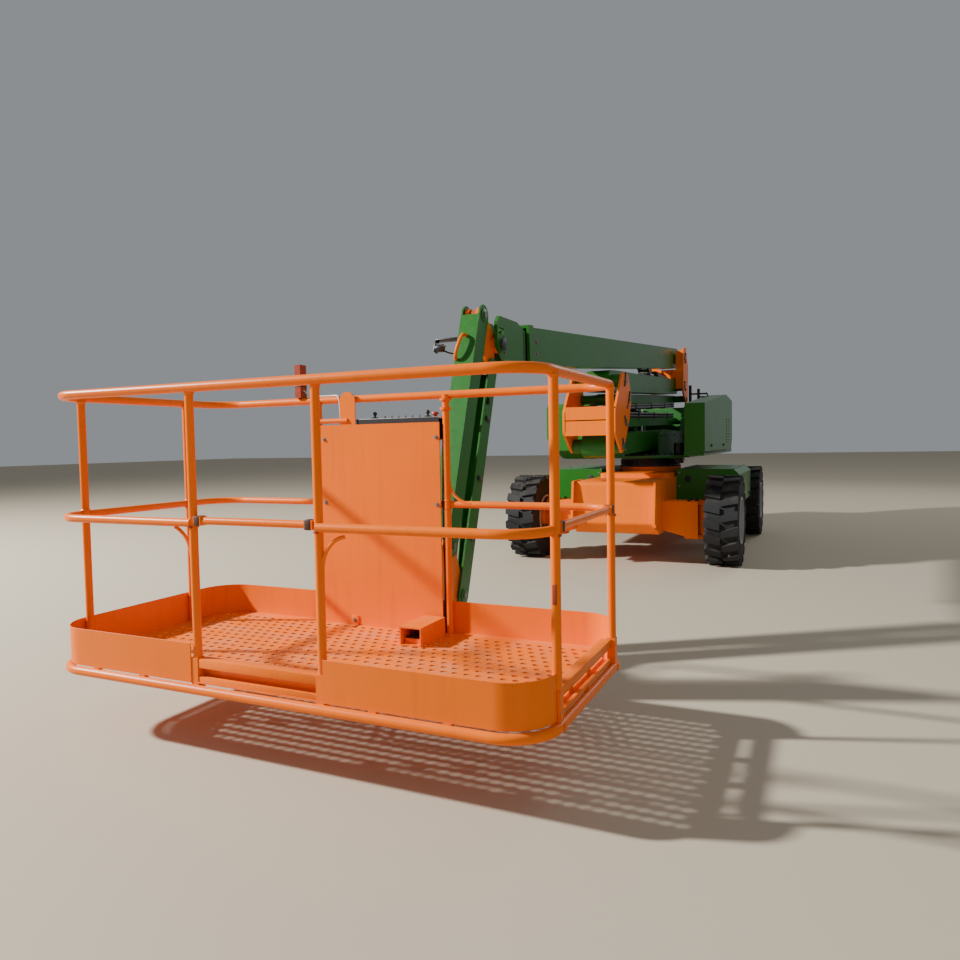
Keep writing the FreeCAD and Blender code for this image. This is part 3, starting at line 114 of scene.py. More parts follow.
def weathering_group():
    """Enamel or rubber that lives outdoors: slow fading, dust on what faces up, rain marks, chips."""
    tree = bpy.data.node_groups.new("weathering", "ShaderNodeTree")
    sockets(tree, "Color", "Paint", "Under")
    sockets(tree, "Float", "Fade", "Dust", "Gloss", "Chips", "Edge")
    sockets(tree, "Color", "Color", way="OUTPUT")
    sockets(tree, "Float", "Roughness", "Height", way="OUTPUT")
    n, l = tree.nodes, tree.links
    gin, gout = n.new("NodeGroupInput"), n.new("NodeGroupOutput")
    place = n.new("ShaderNodeTexCoord")

    def noise(scale, detail, stretch=None):
        tex = n.new("ShaderNodeTexNoise")
        tex.inputs["Scale"].default_value = scale
        tex.inputs["Detail"].default_value = detail
        if stretch is None:
            l.new(place.outputs["Object"], tex.inputs["Vector"])
        else:
            turn = n.new("ShaderNodeMapping")
            turn.inputs["Scale"].default_value = stretch
            l.new(place.outputs["Object"], turn.inputs["Vector"])
            l.new(turn.outputs["Vector"], tex.inputs["Vector"])
        return tex.outputs["Fac"]

    def ramp(value, low, high):
        node = n.new("ShaderNodeMapRange")
        node.inputs["From Min"].default_value = low
        node.inputs["From Max"].default_value = high
        l.new(value, node.inputs["Value"])
        return node.outputs["Result"]

    def maths(kind, a, b):
        node = n.new("ShaderNodeMath")
        node.operation = kind
        for i, v in enumerate((a, b)):
            if isinstance(v, float):
                node.inputs[i].default_value = v
            else:
                l.new(v, node.inputs[i])
        return node.outputs[0]

    def mix(factor, a, b, kind="MIX"):
        node = n.new("ShaderNodeMix")
        node.data_type = "RGBA"
        node.blend_type = kind
        l.new(factor, node.inputs["Factor"])
        for socket, v in ((node.inputs[6], a), (node.inputs[7], b)):
            if isinstance(v, tuple):
                socket.default_value = v
            else:
                l.new(v, socket)
        return node.outputs[2]

    broad = ramp(noise(1.6, 4.0), 0.32, 0.68)
    fine = noise(34.0, 6.0)
    streak = ramp(noise(1.0, 5.0, (22.0, 22.0, 1.6)), 0.52, 0.72)
    faded = mix(maths("MULTIPLY", broad, gin.outputs["Fade"]), gin.outputs["Paint"],
                (0.80, 0.74, 0.68, 1), "MULTIPLY")
    marked = mix(maths("MULTIPLY", maths("MULTIPLY", streak, gin.outputs["Fade"]), 0.35), faded,
                 (0.62, 0.60, 0.57, 1), "MULTIPLY")
    here = n.new("ShaderNodeNewGeometry")
    split = n.new("ShaderNodeSeparateXYZ")
    l.new(here.outputs["Normal"], split.inputs[0])
    lying = ramp(split.outputs["Z"], 0.35, 1.0)
    settled = maths("MULTIPLY", lying, ramp(noise(7.0, 6.0), 0.42, 0.75))
    thrown = maths("MULTIPLY", ramp(fine, 0.60, 0.80), 0.12)
    dust = maths("MULTIPLY", maths("ADD", settled, thrown), gin.outputs["Dust"])
    dusted = mix(dust, marked, (0.40, 0.34, 0.26, 1))
    round_edge = n.new("ShaderNodeBevel")
    round_edge.samples = 4
    l.new(gin.outputs["Edge"], round_edge.inputs["Radius"])
    turned = n.new("ShaderNodeVectorMath")
    turned.operation = "DOT_PRODUCT"
    l.new(round_edge.outputs["Normal"], turned.inputs[0])
    l.new(here.outputs["Normal"], turned.inputs[1])
    edge = ramp(maths("SUBTRACT", 1.0, turned.outputs["Value"]), 0.02, 0.16)
    worn = maths("MULTIPLY", edge, ramp(noise(48.0, 5.0), 0.50, 0.62))
    chips = maths("MULTIPLY", worn, gin.outputs["Chips"])
    coloured = mix(chips, dusted, gin.outputs["Under"])
    l.new(coloured, gout.inputs["Color"])
    rough = maths("ADD", maths("MULTIPLY", fine, 0.16), gin.outputs["Gloss"])
    rough = maths("ADD", rough, maths("MULTIPLY", dust, 0.35))
    l.new(maths("ADD", rough, maths("MULTIPLY", chips, 0.25)), gout.inputs["Roughness"])
    l.new(maths("SUBTRACT", noise(380.0, 2.0), chips), gout.inputs["Height"])
    return tree


weathering = weathering_group()


def finish(name, colour, under=(0.10, 0.09, 0.08), fade=0.45, dust=0.35, gloss=0.26, chips=0.8,
           edge=0.006, metal=0.0, peel=0.0005, shine=0.4):
    """One of the machine's finishes; under is what shows where it has worn off."""
    mat = bpy.data.materials.new(name)
    mat.use_nodes = True
    n, l = mat.node_tree.nodes, mat.node_tree.links
    skin = n["Principled BSDF"]
    wear = n.new("ShaderNodeGroup")
    wear.node_tree = weathering
    wear.inputs["Paint"].default_value = (*colour, 1)
    wear.inputs["Under"].default_value = (*under, 1)
    for label, value in (("Fade", fade), ("Dust", dust), ("Gloss", gloss), ("Chips", chips), ("Edge", edge)):
        wear.inputs[label].default_value = value
    l.new(wear.outputs["Color"], skin.inputs["Base Color"])
    l.new(wear.outputs["Roughness"], skin.inputs["Roughness"])
    bump = n.new("ShaderNodeBump")
    bump.inputs["Strength"].default_value = 0.3
    bump.inputs["Distance"].default_value = peel
    l.new(wear.outputs["Height"], bump.inputs["Height"])
    l.new(bump.outputs["Normal"], skin.inputs["Normal"])
    skin.inputs["Metallic"].default_value = metal
    skin.inputs["Specular IOR Level"].default_value = shine
    return mat


def wears(material, *names):
    """These CAD nodes get that finish."""
    for name in names:
        obj = nodes[name]
        if obj.material_slots:
            for s in obj.material_slots:
                s.material = material
        else:
            obj.data.materials.append(material)


def put(name, bm, material, body):
    """The finished mesh becomes a piece on that body."""
    bmesh.ops.remove_doubles(bm, verts=bm.verts, dist=1e-6)
    bmesh.ops.recalc_face_normals(bm, faces=bm.faces)
    mesh = bpy.data.meshes.new(name)
    bm.to_mesh(mesh)
    bm.free()
    return put_mesh(name, mesh, material, body)


def put_mesh(name, mesh, material, body):
    """A mesh becomes a piece, smooth between its sharp edges, that rides on the body."""
    mesh.materials.clear()
    mesh.materials.append(material)
    mesh.polygons.foreach_set("use_smooth", [True] * len(mesh.polygons))
    mesh.set_sharp_from_angle(angle=math.radians(32))
    obj = bpy.data.objects.new(name, mesh)
    scene.collection.objects.link(obj)
    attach(obj, body)
    return obj


def slab(bm, low, high, soft=1.5, place=None):
    """A plate or block between two corners, its edges broken by soft; all in millimetres.

    The corners count from the slewing axis, or along the member whose own places are given."""
    verts = bmesh.ops.create_cube(bm, size=1.0)["verts"]
    for v in verts:
        corner = [high[i] if v.co[i] > 0 else low[i] for i in range(3)]
        v.co = at(*(place(*corner) if place else corner))
    edges = list({e for v in verts for e in v.link_edges})
    bmesh.ops.bevel(bm, geom=edges, offset=soft / 1000, segments=2, affect="EDGES", profile=0.5)


def bar_round(bm, start, end, r1, r2=None, sides=24, soft=0.0):
    """A turned piece between two places, its rims broken by soft; all in millimetres."""
    a, b = at(*start), at(*end)
    way = b - a
    turn = way.to_track_quat("Z", "Y").to_matrix().to_4x4()
    made = bmesh.ops.create_cone(bm, cap_ends=True, segments=sides, radius1=r1 / 1000,
                                 radius2=(r2 or r1) / 1000, depth=way.length,
                                 matrix=Matrix.Translation((a + b) / 2) @ turn)
    if soft:
        rims = [e for e in {e for v in made["verts"] for e in v.link_edges}
                if sum(len(f.verts) > 4 for f in e.link_faces) == 1]
        bmesh.ops.bevel(bm, geom=rims, offset=soft / 1000, segments=2, affect="EDGES", profile=0.5)


def handed_over(tree, shape, gin, gout):
    """Ends a geometry tree: its shape as real mesh in place of instances, in the finish given."""
    real = tree.nodes.new("GeometryNodeRealizeInstances")
    tree.links.new(shape, real.inputs[0])
    dress = tree.nodes.new("GeometryNodeSetMaterial")
    tree.links.new(real.outputs[0], dress.inputs["Geometry"])
    tree.links.new(gin.outputs["Finish"], dress.inputs["Material"])
    tree.links.new(dress.outputs[0], gout.inputs[0])
    return tree


def bolt_tree():
    """A hexagon head on a washer at every point, standing along the point's own direction."""
    tree = bpy.data.node_groups.new("bolt_heads", "GeometryNodeTree")
    sockets(tree, "Geometry", "Places")
    sockets(tree, "Float", "Across", "Height")
    sockets(tree, "Material", "Finish")
    sockets(tree, "Geometry", "Heads", way="OUTPUT")
    n, l = tree.nodes, tree.links
    gin, gout = n.new("NodeGroupInput"), n.new("NodeGroupOutput")

    def scaled(socket, by):
        node = n.new("ShaderNodeMath")
        node.operation = "MULTIPLY"
        node.inputs[1].default_value = by
        l.new(gin.outputs[socket], node.inputs[0])
        return node.outputs[0]

    def drum(count, radius, depth):
        node = n.new("GeometryNodeMeshCylinder")
        node.inputs["Vertices"].default_value = count
        l.new(radius, node.inputs["Radius"])
        l.new(depth, node.inputs["Depth"])
        lift = n.new("ShaderNodeCombineXYZ")
        half = n.new("ShaderNodeMath")
        half.operation = "MULTIPLY"
        half.inputs[1].default_value = 0.49
        l.new(depth, half.inputs[0])
        l.new(half.outputs[0], lift.inputs["Z"])
        move = n.new("GeometryNodeTransform")
        l.new(node.outputs["Mesh"], move.inputs["Geometry"])
        l.new(lift.outputs[0], move.inputs["Translation"])
        return move.outputs["Geometry"]

    head = drum(6, scaled("Across", 0.5774), scaled("Height", 1.0))
    washer = drum(20, scaled("Across", 0.80), scaled("Height", 0.24))
    stud = drum(10, scaled("Across", 0.26), scaled("Height", 1.25))
    both = n.new("GeometryNodeJoinGeometry")
    for part in (head, washer, stud):
        l.new(part, both.inputs["Geometry"])
    way = n.new("GeometryNodeInputNamedAttribute")
    way.data_type = "FLOAT_VECTOR"
    way.inputs["Name"].default_value = "way"
    turn = n.new("FunctionNodeAlignRotationToVector")
    turn.axis = "Z"
    l.new(way.outputs["Attribute"], turn.inputs["Vector"])
    spread = n.new("GeometryNodeInstanceOnPoints")
    l.new(gin.outputs["Places"], spread.inputs["Points"])
    l.new(both.outputs[0], spread.inputs["Instance"])
    l.new(turn.outputs["Rotation"], spread.inputs["Rotation"])
    return handed_over(tree, spread.outputs[0], gin, gout)


def grown(name, host_mesh, tree, values):
    """The plain mesh that a Geometry Nodes tree makes on the host mesh with these inputs."""
    host = bpy.data.objects.new(name + "_host", host_mesh)
    scene.collection.objects.link(host)
    step = host.modifiers.new("grow", "NODES")
    step.node_group = tree
    for item in tree.interface.items_tree:
        if item.item_type == "SOCKET" and item.in_out == "INPUT" and item.name in values:
            step[item.identifier] = values[item.name]
    host.update_tag()
    graph = bpy.context.evaluated_depsgraph_get()
    graph.update()
    mesh = bpy.data.meshes.new_from_object(host.evaluated_get(graph), depsgraph=graph)
    host.modifiers.remove(step)
    bpy.data.objects.remove(host)
    mesh.name = name
    return mesh


bolt_heads = bolt_tree()


def bolts(name, spots, across, height, material, body):
    """Bolt heads at (place, way) spots given from the slewing axis in millimetres."""
    host = bpy.data.meshes.new(name + "_places")
    host.from_pydata([tuple(at(*p)) for p, way in spots], [], [])
    host.attributes.new("way", "FLOAT_VECTOR", "POINT").data.foreach_set(
        "vector", [c for p, way in spots for c in way])
    mesh = grown(name, host, bolt_heads,
                 {"Across": across / 1000, "Height": height / 1000, "Finish": material})
    return put_mesh(name, mesh, material, body)


def circle(count, radius, start=0):
    """Places evenly round a circle, the first at start degrees."""
    angles = [math.radians(360 / count * i + start) for i in range(count)]
    return [(radius * math.cos(a), radius * math.sin(a)) for a in angles]


orange = finish("orange_enamel", (0.95, 0.178, 0.001), under=(0.20, 0.11, 0.07), dust=0.07, shine=0.18)
zinc = finish("plated_fastener", (0.34, 0.34, 0.33), under=(0.12, 0.08, 0.05), metal=0.9, dust=0.2,
              gloss=0.34)
dark_steel = finish("blackened_steel", (0.035, 0.035, 0.038), under=(0.10, 0.07, 0.05), metal=0.6,
                    gloss=0.38)
wears(orange, "chassis_frame", "axle_beams", "steer_knuckle_left", "steer_knuckle_right")
spots = [((x, y, 895.0), (0, 0, 1)) for x, y in circle(24, 330.0, 4)]
bolts("seat_bolts", spots, 19, 11, dark_steel, "chassis")
for side, body in ((1, "steer_left"), (-1, "steer_right")):
    bm = bmesh.new()
    y = side * KINGPIN_Y
    bar_round(bm, (AXLE_X, y, 612), (AXLE_X, y, 620), 20, 17, soft=1.5)
    bar_round(bm, (AXLE_X, y, 619), (AXLE_X, y, 630), 6, 4, sides=12)
    put("kingpin_cap_" + body, bm, dark_steel, "chassis")
spots = []
for way in (-1, 1):
    for side in (1, -1):
        spots += [((AXLE_X + way * out, side * y, 600), (0, 0, 1)) for out, y in ((32, 700), (92, 640))]
bolts("axle_bolts", spots, 24, 15, dark_steel, "chassis")
spots = [((x, y, DECK_TOP), (0, 0, 1)) for x in (1500, 1100, -900, -1500) for y in (-340, 340)]
bolts("deck_bolts", spots, 17, 10, zinc, "chassis")
bm = bmesh.new()
for side in (1, -1):
    for x0, x1 in ((1060, 1560), (-1560, -1020)):
        slab(bm, (x0, side * 250 - 110, DECK_TOP), (x1, side * 250 + 110, DECK_TOP + 4), 1)
put("chassis_covers", bm, orange, "chassis")

# Wheels: foam-filled rubber tyres with a deep bar tread, pressed on grey steel rims; nine nuts hold
# each rim to its hub, and a small plug closes the filling hole.
AXLE_Z = 422.5
NUT_FACE, HUB_FACE = 1009.5, 1055
rubber = finish("tyre_rubber", (0.018, 0.018, 0.019), under=(0.05, 0.048, 0.045), fade=0.3, dust=0.22,
                gloss=0.58, chips=0.5, edge=0.008, peel=0.002, shine=0.25)
rim_grey = finish("rim_enamel", (0.36, 0.37, 0.38), under=(0.12, 0.08, 0.06), dust=0.5, gloss=0.36)
for corner in ("front_left", "front_right", "rear_left", "rear_right"):
    wears(rubber, "tyre_" + corner)
    wears(rim_grey, "rim_" + corner)
    x = AXLE_X if "front" in corner else -AXLE_X
    side = 1 if "left" in corner else -1
    body = "wheel_" + corner
    spots = [((x + u, side * NUT_FACE, AXLE_Z + v), (0, side, 0)) for u, v in circle(9, 148)]
    bolts("wheel_nuts_" + corner, spots, 27, 20, zinc, body)
    spots = [((x + u, side * HUB_FACE, AXLE_Z + v), (0, side, 0)) for u, v in circle(6, 62)]
    bolts("hub_bolts_" + corner, spots, 13, 8, dark_steel, body)
    bm = bmesh.new()
    bar_round(bm, (x, side * (HUB_FACE - 1), AXLE_Z), (x, side * (HUB_FACE + 9), AXLE_Z), 34, 28,
              sides=32, soft=2)
    bar_round(bm, (x - 178, side * 1000, AXLE_Z), (x - 178, side * 1034, 424), 9, 7, sides=16, soft=1)
    put("hub_cap_" + corner, bm, dark_steel, body)

# Side boxes: folded green sheet lockers on both flanks of the chassis, each with a hinged door, two
# turned catches, edge strips of rubber and a grommet for the cables in its end wall.
green = finish("green_enamel", (0.018, 0.150, 0.014), under=(0.13, 0.11, 0.09), gloss=0.24, dust=0.12,
               shine=0.3)
wears(green, "side_boxes", "side_door_left", "side_door_right")
moulding = finish("black_moulding", (0.016, 0.016, 0.017), under=(0.05, 0.05, 0.05), dust=0.3,
                  gloss=0.42, chips=0.3)
for side, body in ((1, "door_left"), (-1, "door_right")):
    bm = bmesh.new()
    y0, y1 = sorted((side * 1040, side * 1048))
    for x in (-480, 400):
        bar_round(bm, (x, side * 1033.5, 570), (x, side * 1041, 570), 21, 19, sides=28, soft=1.5)
        slab(bm, (x - 4, y0, 553), (x + 4, y1, 587), 2)
    y0, y1 = sorted((side * 1026, side * 1029))
    for x in (-684, 596):
        slab(bm, (x, y0, 530), (x + 8, y1, 812), 1)
    put("door_catches_" + body, bm, moulding, body)
spots = []
for side in (1, -1):
    for x in (-600, -200, 200, 540):
        spots.append(((x, side * 430, 880), (0, 0, 1)))
    for z in (560, 700, 840):
        for x, way in ((620, 1), (-700, -1)):
            spots.append(((x, side * 430, z), (way, 0, 0)))
bolts("locker_bolts", spots, 13, 7, zinc, "chassis")
bm = bmesh.new()
for side in (1, -1):
    bar_round(bm, (614, side * 520, 780), (626, side * 520, 780), 36, 34, sides=32, soft=2)
    bar_round(bm, (-1, side * 520, 700), (0, side * 520, 700), 5, 5, sides=8)
put("locker_grommets", bm, moulding, "chassis")

# Slewing ring and its drive: a black toothed bearing under the turntable, a geared motor beside it,
# and the ring of bolts that holds the turntable down.
black = finish("black_enamel", (0.014, 0.014, 0.016), under=(0.16, 0.12, 0.09), gloss=0.3)
wears(black, "slew_ring", "slew_drive")
TEETH = 96
bm = bmesh.new()
for i in range(TEETH):
    turn = Matrix.Translation(at(0, 0, 0)) @ Matrix.Rotation(math.radians(i * 360 / TEETH), 4, "Z")
    for v in bmesh.ops.create_cube(bm, size=1.0)["verts"]:
        out, wide = (0.330, 0.0035) if v.co.x > 0 else (0.318, 0.0065)
        v.co = turn @ Vector((out, math.copysign(wide, v.co.y), 0.975 if v.co.z > 0 else 0.915))
put("ring_teeth", bm, dark_steel, "chassis")
BASE_TOP = 1020.3
spots = [((x, y, BASE_TOP), (0, 0, 1)) for x, y in circle(24, 292)]
bolts("turntable_bolts", spots, 19, 11, dark_steel, "turntable")
spots = [((260 + x, 372 + y, 1150.3), (0, 0, 1)) for x, y in circle(6, 50)]
bolts("drive_bolts", spots, 10, 6, zinc, "turntable")

# Turntable: a thick base plate with two tall cheek plates for the riser, the cast counterweight at
# its tail, and on its two sides the engine, tank and pump behind folded green hoods.
wears(green, "turntable_frame", "hood_left", "hood_right")
casting = finish("painted_casting", (0.016, 0.135, 0.013), under=(0.12, 0.10, 0.08), gloss=0.42,
                 peel=0.003)
wears(casting, "counterweight")
wears(black, "engine_and_tank", "hood_posts")


def louvre_tree():
    """A pressed half-round louvre at every point, lying along X, in the skin of a hood."""
    tree = bpy.data.node_groups.new("louvres", "GeometryNodeTree")
    sockets(tree, "Geometry", "Places")
    sockets(tree, "Float", "Length", "Rise", "Drop")
    sockets(tree, "Material", "Finish")
    sockets(tree, "Geometry", "Louvres", way="OUTPUT")
    n, l = tree.nodes, tree.links
    gin, gout = n.new("NodeGroupInput"), n.new("NodeGroupOutput")
    drum = n.new("GeometryNodeMeshCylinder")
    drum.inputs["Vertices"].default_value = 12
    drum.inputs["Radius"].default_value = 1.0
    l.new(gin.outputs["Length"], drum.inputs["Depth"])
    lay = n.new("GeometryNodeTransform")
    lay.inputs["Rotation"].default_value = (0.0, math.pi / 2, 0.0)
    l.new(drum.outputs["Mesh"], lay.inputs["Geometry"])
    size = n.new("ShaderNodeCombineXYZ")
    size.inputs["X"].default_value = 1.0
    l.new(gin.outputs["Rise"], size.inputs["Y"])
    l.new(gin.outputs["Drop"], size.inputs["Z"])
    squeeze = n.new("GeometryNodeTransform")
    l.new(lay.outputs[0], squeeze.inputs["Geometry"])
    l.new(size.outputs[0], squeeze.inputs["Scale"])
    spread = n.new("GeometryNodeInstanceOnPoints")
    l.new(gin.outputs["Places"], spread.inputs["Points"])
    l.new(squeeze.outputs[0], spread.inputs["Instance"])
    return handed_over(tree, spread.outputs[0], gin, gout)


louvres = louvre_tree()


def louvre_rows(name, y, columns, heights, length, body):
    """Columns of louvres in the outer skin of a hood, centred at these x and heights."""
    host = bpy.data.meshes.new(name + "_places")
    host.from_pydata([tuple(at(x, y, z)) for x in columns for z in heights], [], [])
    mesh = grown(name, host, louvres,
                 {"Length": length / 1000, "Rise": 0.006, "Drop": 0.011, "Finish": green})
    put_mesh(name, mesh, green, body)


louvre_rows("louvres_right", 699.5, (-1560, -1330), [1150 + 36 * i for i in range(9)], 190, "hood_right")
louvre_rows("louvres_left", -979.5, (-1480, -1240, -300), [1300 + 36 * i for i in range(6)], 200, "hood_left")
for side, y, way, xs, z in (("right", 700, 1, (-900, 200), 1120), ("left", -980, -1, (-900, 300), 1260)):
    bm = bmesh.new()
    plate, grip = sorted((y, y + way * 5)), sorted((y + way * 4, y + way * 13))
    for x in xs:
        slab(bm, (x - 42, plate[0], z - 18), (x + 42, plate[1], z + 18), 3)
        slab(bm, (x - 30, grip[0], z - 7), (x + 30, grip[1], z + 7), 3)
    put("hood_latches_" + side, bm, moulding, "hood_" + side)
# Two thin black strips at the front of the right hood. Below them, a black slab along the hood's bottom is
# painted shade: a dark sheet standing where the hood's underside lies in shade.
bm = bmesh.new()
for z in (1110, 1510):
    slab(bm, (520, 530, z), (701.5, 560, z + 1), 0.4)
slab(bm, (-1210, 500, 1042), (640, 696, 1064), 2)
put("right_hood_strips_and_painted_shade", bm, moulding, "turntable")
PLANE = -90
CHEEK_OUT = 240
spots = [((x, PLANE + s * CHEEK_OUT, z), (0, s, 0)) for s in (1, -1)
         for x, z in ((-1560, 1520), (-1440, 1480), (-1200, 1250), (-700, 1250), (-200, 1250), (120, 1250))]
bolts("cheek_bolts", spots, 24, 14, zinc, "turntable")
spots = [((x, y, BASE_TOP), (0, 0, 1)) for x in (500, 420) for y in (-300, -180, 60, 130)]
bolts("base_bolts", spots, 24, 14, dark_steel, "turntable")
bm = bmesh.new()
for x in (-1280, -1080, -880, -680, -480):
    bar_round(bm, (x, -900, 1470), (x, -900, 1500), 46, 40, sides=20, soft=3)
slab(bm, (-1340, -620, 1470), (-400, -590, 1490), 4)
bar_round(bm, (-500, 600, 1440), (-500, 600, 1462), 44, 40, sides=28, soft=3)
bar_round(bm, (-1300, 600, 1440), (-1300, 600, 1456), 38, 36, sides=28, soft=3)
put("engine_covers", bm, dark_steel, "turntable")

# Riser: two stacked pairs of green box arms and tie links, folded on an orange knuckle of thick
# plate; hardened pins join them, each held by a black keeper plate with two screws.
wears(green, "riser_lower_arm", "riser_lower_link", "riser_upper_arm", "riser_upper_link")
wears(orange, "riser_knuckle", "boom_upright")
pin_metal = finish("pin_metal", (0.20, 0.20, 0.205), under=(0.10, 0.06, 0.04), metal=0.85, gloss=0.30,
                   dust=0.25)
wears(pin_metal, "turntable_pins", "knuckle_pins", "upright_pins", "riser_cylinder_pin")
LOWER_LINK = ((-1500, 1436), (1800, 1353))
UPPER_LINK = ((-1750, 1735), (1640, 1578))
UPPER_ARM = ((-1600, 1895), (1790, 1738))
BOOM_PIVOT = (-1620, 2271.7)


def keepers(name, body, pins, half):
    """Keeper plates on both ends of pins, (place, radius, lean), at half from the boom's plane."""
    length, width, thick = 34, 13, 8
    bm = bmesh.new()
    spots = []
    for (x, z), r, lean in pins:
        c, s = math.cos(math.radians(lean)), math.sin(math.radians(lean))
        off = r * 0.55
        turn = Matrix.Translation(at(x, 0, z)) @ Matrix.Rotation(-math.radians(lean), 4, "Y")
        for side in (1, -1):
            face = PLANE + side * (half + thick)
            y0, y1 = sorted((PLANE + side * half, face))
            verts = bmesh.ops.create_cube(bm, size=1.0)["verts"]
            for v in verts:
                p = turn @ Vector((math.copysign(r + length, v.co.x) / 1000, 0,
                                   (off + math.copysign(width, v.co.z)) / 1000))
                v.co = Vector((p.x, (y1 if v.co.y > 0 else y0) / 1000 + SLEW_Y, p.z))
            edges = list({e for v in verts for e in v.link_edges})
            bmesh.ops.bevel(bm, geom=edges, offset=0.0015, segments=1, affect="EDGES", profile=0.5)
            for d in (-(r + 18), r + 18):
                spots.append(((x + d * c - off * s, face, z + d * s + off * c), (0, side, 0)))
    put(name, bm, black, body)
    bolts(name + "_screws", spots, 17, 9, zinc, body)


keepers("turret_keepers", "turntable", (((-1400, 1223), 35, 20), (LOWER_LINK[0], 30, 20)), CHEEK_OUT)
keepers("knuckle_keepers", "knuckle", (((1900, 1140), 35, 60), (UPPER_ARM[1], 35, -70),
                                       (LOWER_LINK[1], 30, 40), (UPPER_LINK[1], 30, -60)), CHEEK_OUT)
keepers("upright_keepers", "upright", ((UPPER_ARM[0], 35, 70), (BOOM_PIVOT, 35, 90)), 220)
hose_skin = finish("hose_rubber", (0.012, 0.012, 0.013), under=(0.05, 0.05, 0.05), dust=0.35, gloss=0.5,
                   chips=0.1, edge=0.002, peel=0.0008)


def hose(name, points, radius, material, body):
    """A hose or cable clipped along its member, on a smooth line through the pull of these points."""
    line = bpy.data.curves.new(name, "CURVE")
    line.dimensions = "3D"
    run = line.splines.new("NURBS")
    run.points.add(len(points) - 1)
    for p, q in zip(run.points, points):
        p.co = (*at(*q), 1.0)
    run.order_u = 3
    run.use_endpoint_u = True
    run.resolution_u = 6
    line.bevel_depth = radius / 1000
    line.bevel_resolution = 3
    line.use_fill_caps = True
    curve = bpy.data.objects.new(name, line)
    scene.collection.objects.link(curve)
    graph = bpy.context.evaluated_depsgraph_get()
    mesh = bpy.data.meshes.new_from_object(curve.evaluated_get(graph), depsgraph=graph)
    bpy.data.objects.remove(curve)
    grown_mesh = bmesh.new()
    grown_mesh.from_mesh(mesh)
    bpy.data.meshes.remove(mesh)
    return put(name, grown_mesh, material, body)


def height_on(member, x):
    """Height of a riser member's axis at x."""
    (xa, za), (xb, zb) = member
    return za - (x - xa) * (za - zb) / (xb - xa)


for i, y in enumerate((26, 0, -26)):
    run = [(1380, 1862), (1200, 1872), (600, 1896), (0, 1920), (-700, 1948), (-1180, 1968), (-1330, 1976)]
    hose("riser_hose_%d" % (i + 1), [(x, PLANE + y, z) for x, z in run], 11, hose_skin, "upper_arm")
for i, (y, h) in enumerate(((82, 60), (108, 60), (82, 88), (108, 88), (-82, 60), (-108, 60), (-95, 88))):
    run = [(x, PLANE + y, height_on(LOWER_LINK, x) + h) for x in (-1330, -1000, -300, 400, 1000, 1500, 1640)]
    hose("link_hose_%d" % (i + 1), run, 14, hose_skin, "lower_link")
bm = bmesh.new()
for x in (-900, -100, 700, 1400):
    z = height_on(LOWER_LINK, x)
    for mid in (PLANE + 95, PLANE - 95):
        slab(bm, (x - 15, mid - 31, z + 20), (x + 15, mid - 27, z + 104), 1)
        slab(bm, (x - 15, mid + 27, z + 20), (x + 15, mid + 31, z + 104), 1)
        slab(bm, (x - 15, mid - 31, z + 102), (x + 15, mid + 31, z + 106), 1)
put("link_hose_clips", bm, black, "lower_link")
for i, (y, h) in enumerate(((48, -67), (76, -67), (48, -95), (76, -95))):
    run = [(x, PLANE + y, height_on(UPPER_LINK, x) + h) for x in (-1560, -1000, -300, 400, 1000, 1560)]
    hose("belly_hose_%d" % (i + 1), run, 14, hose_skin, "upper_link")
bm = bmesh.new()
for x in (-900, -100, 700, 1300):
    z = height_on(UPPER_LINK, x)
    slab(bm, (x - 15, PLANE + 31, z - 113), (x + 15, PLANE + 93, z - 109), 1)
    slab(bm, (x - 15, PLANE + 29, z - 113), (x + 15, PLANE + 33, z - 45), 1)
    slab(bm, (x - 15, PLANE + 91, z - 113), (x + 15, PLANE + 95, z - 45), 1)
    slab(bm, (x - 15, PLANE + 59, z - 47), (x + 15, PLANE + 95, z - 43), 1)
put("belly_hose_clips", bm, black, "upper_link")
bm = bmesh.new()
for x in (1150, 500, -150, -800):
    z = height_on(UPPER_ARM, x) + 98
    slab(bm, (x - 18, PLANE - 46, z - 3), (x + 18, PLANE + 46, z + 4), 2)
put("riser_hose_clips", bm, black, "upper_arm")

# Hydraulic cylinders of the riser and the boom: black barrels with a gland ring, chromed rods and
# two steel pipes along each barrel.
wears(black, "lift_cylinder_barrel", "riser_cylinder_barrel")
wears(pin_metal, "lift_cylinder_lugs")
chrome = finish("chromed_rod", (0.74, 0.75, 0.77), under=(0.3, 0.28, 0.25), metal=1.0, dust=0.08,
                gloss=0.05, fade=0.1, chips=0.0, edge=0.001, peel=0.0001, shine=0.5)
wears(chrome, "lift_cylinder_rod", "riser_cylinder_rod")
for name, a, b, reach, off, body in (
        ("lift_pipe", (-1380, 1960), (-150, 1972), (120, 700), 66, "lift_barrel"),
        ("riser_pipe", (600, 1330), (1720, 1500), (120, 650), 58, "riser_barrel")):
    d = math.hypot(b[0] - a[0], b[1] - a[1])
    ux, uz = (b[0] - a[0]) / d, (b[1] - a[1]) / d

    def along(s, up, y):
        """A place along the barrel: s from its eye, up from its axis, y from its plane."""
        return (a[0] + ux * s - uz * up, PLANE + y, a[1] + uz * s + ux * up)

    for i, y in enumerate((-14, 14)):
        hose("%s_%d" % (name, i + 1), [along(reach[0] - 30, off - 16, y), along(reach[0], off, y),
                                       along((reach[0] + reach[1]) / 2, off, y), along(reach[1], off, y),
                                       along(reach[1] + 25, off - 14, y)], 6, pin_metal, body)

# Telescopic boom: a green box section with a reinforced collar at its mouth, plastic wear pads
# shimmed by screws, and the inner section whose nose cheeks carry the jib.
wears(green, "boom_outer", "boom_fly")
wears(moulding, "boom_wear_pads")
wears(pin_metal, "nose_pin")
tilt = math.radians(-4.73)


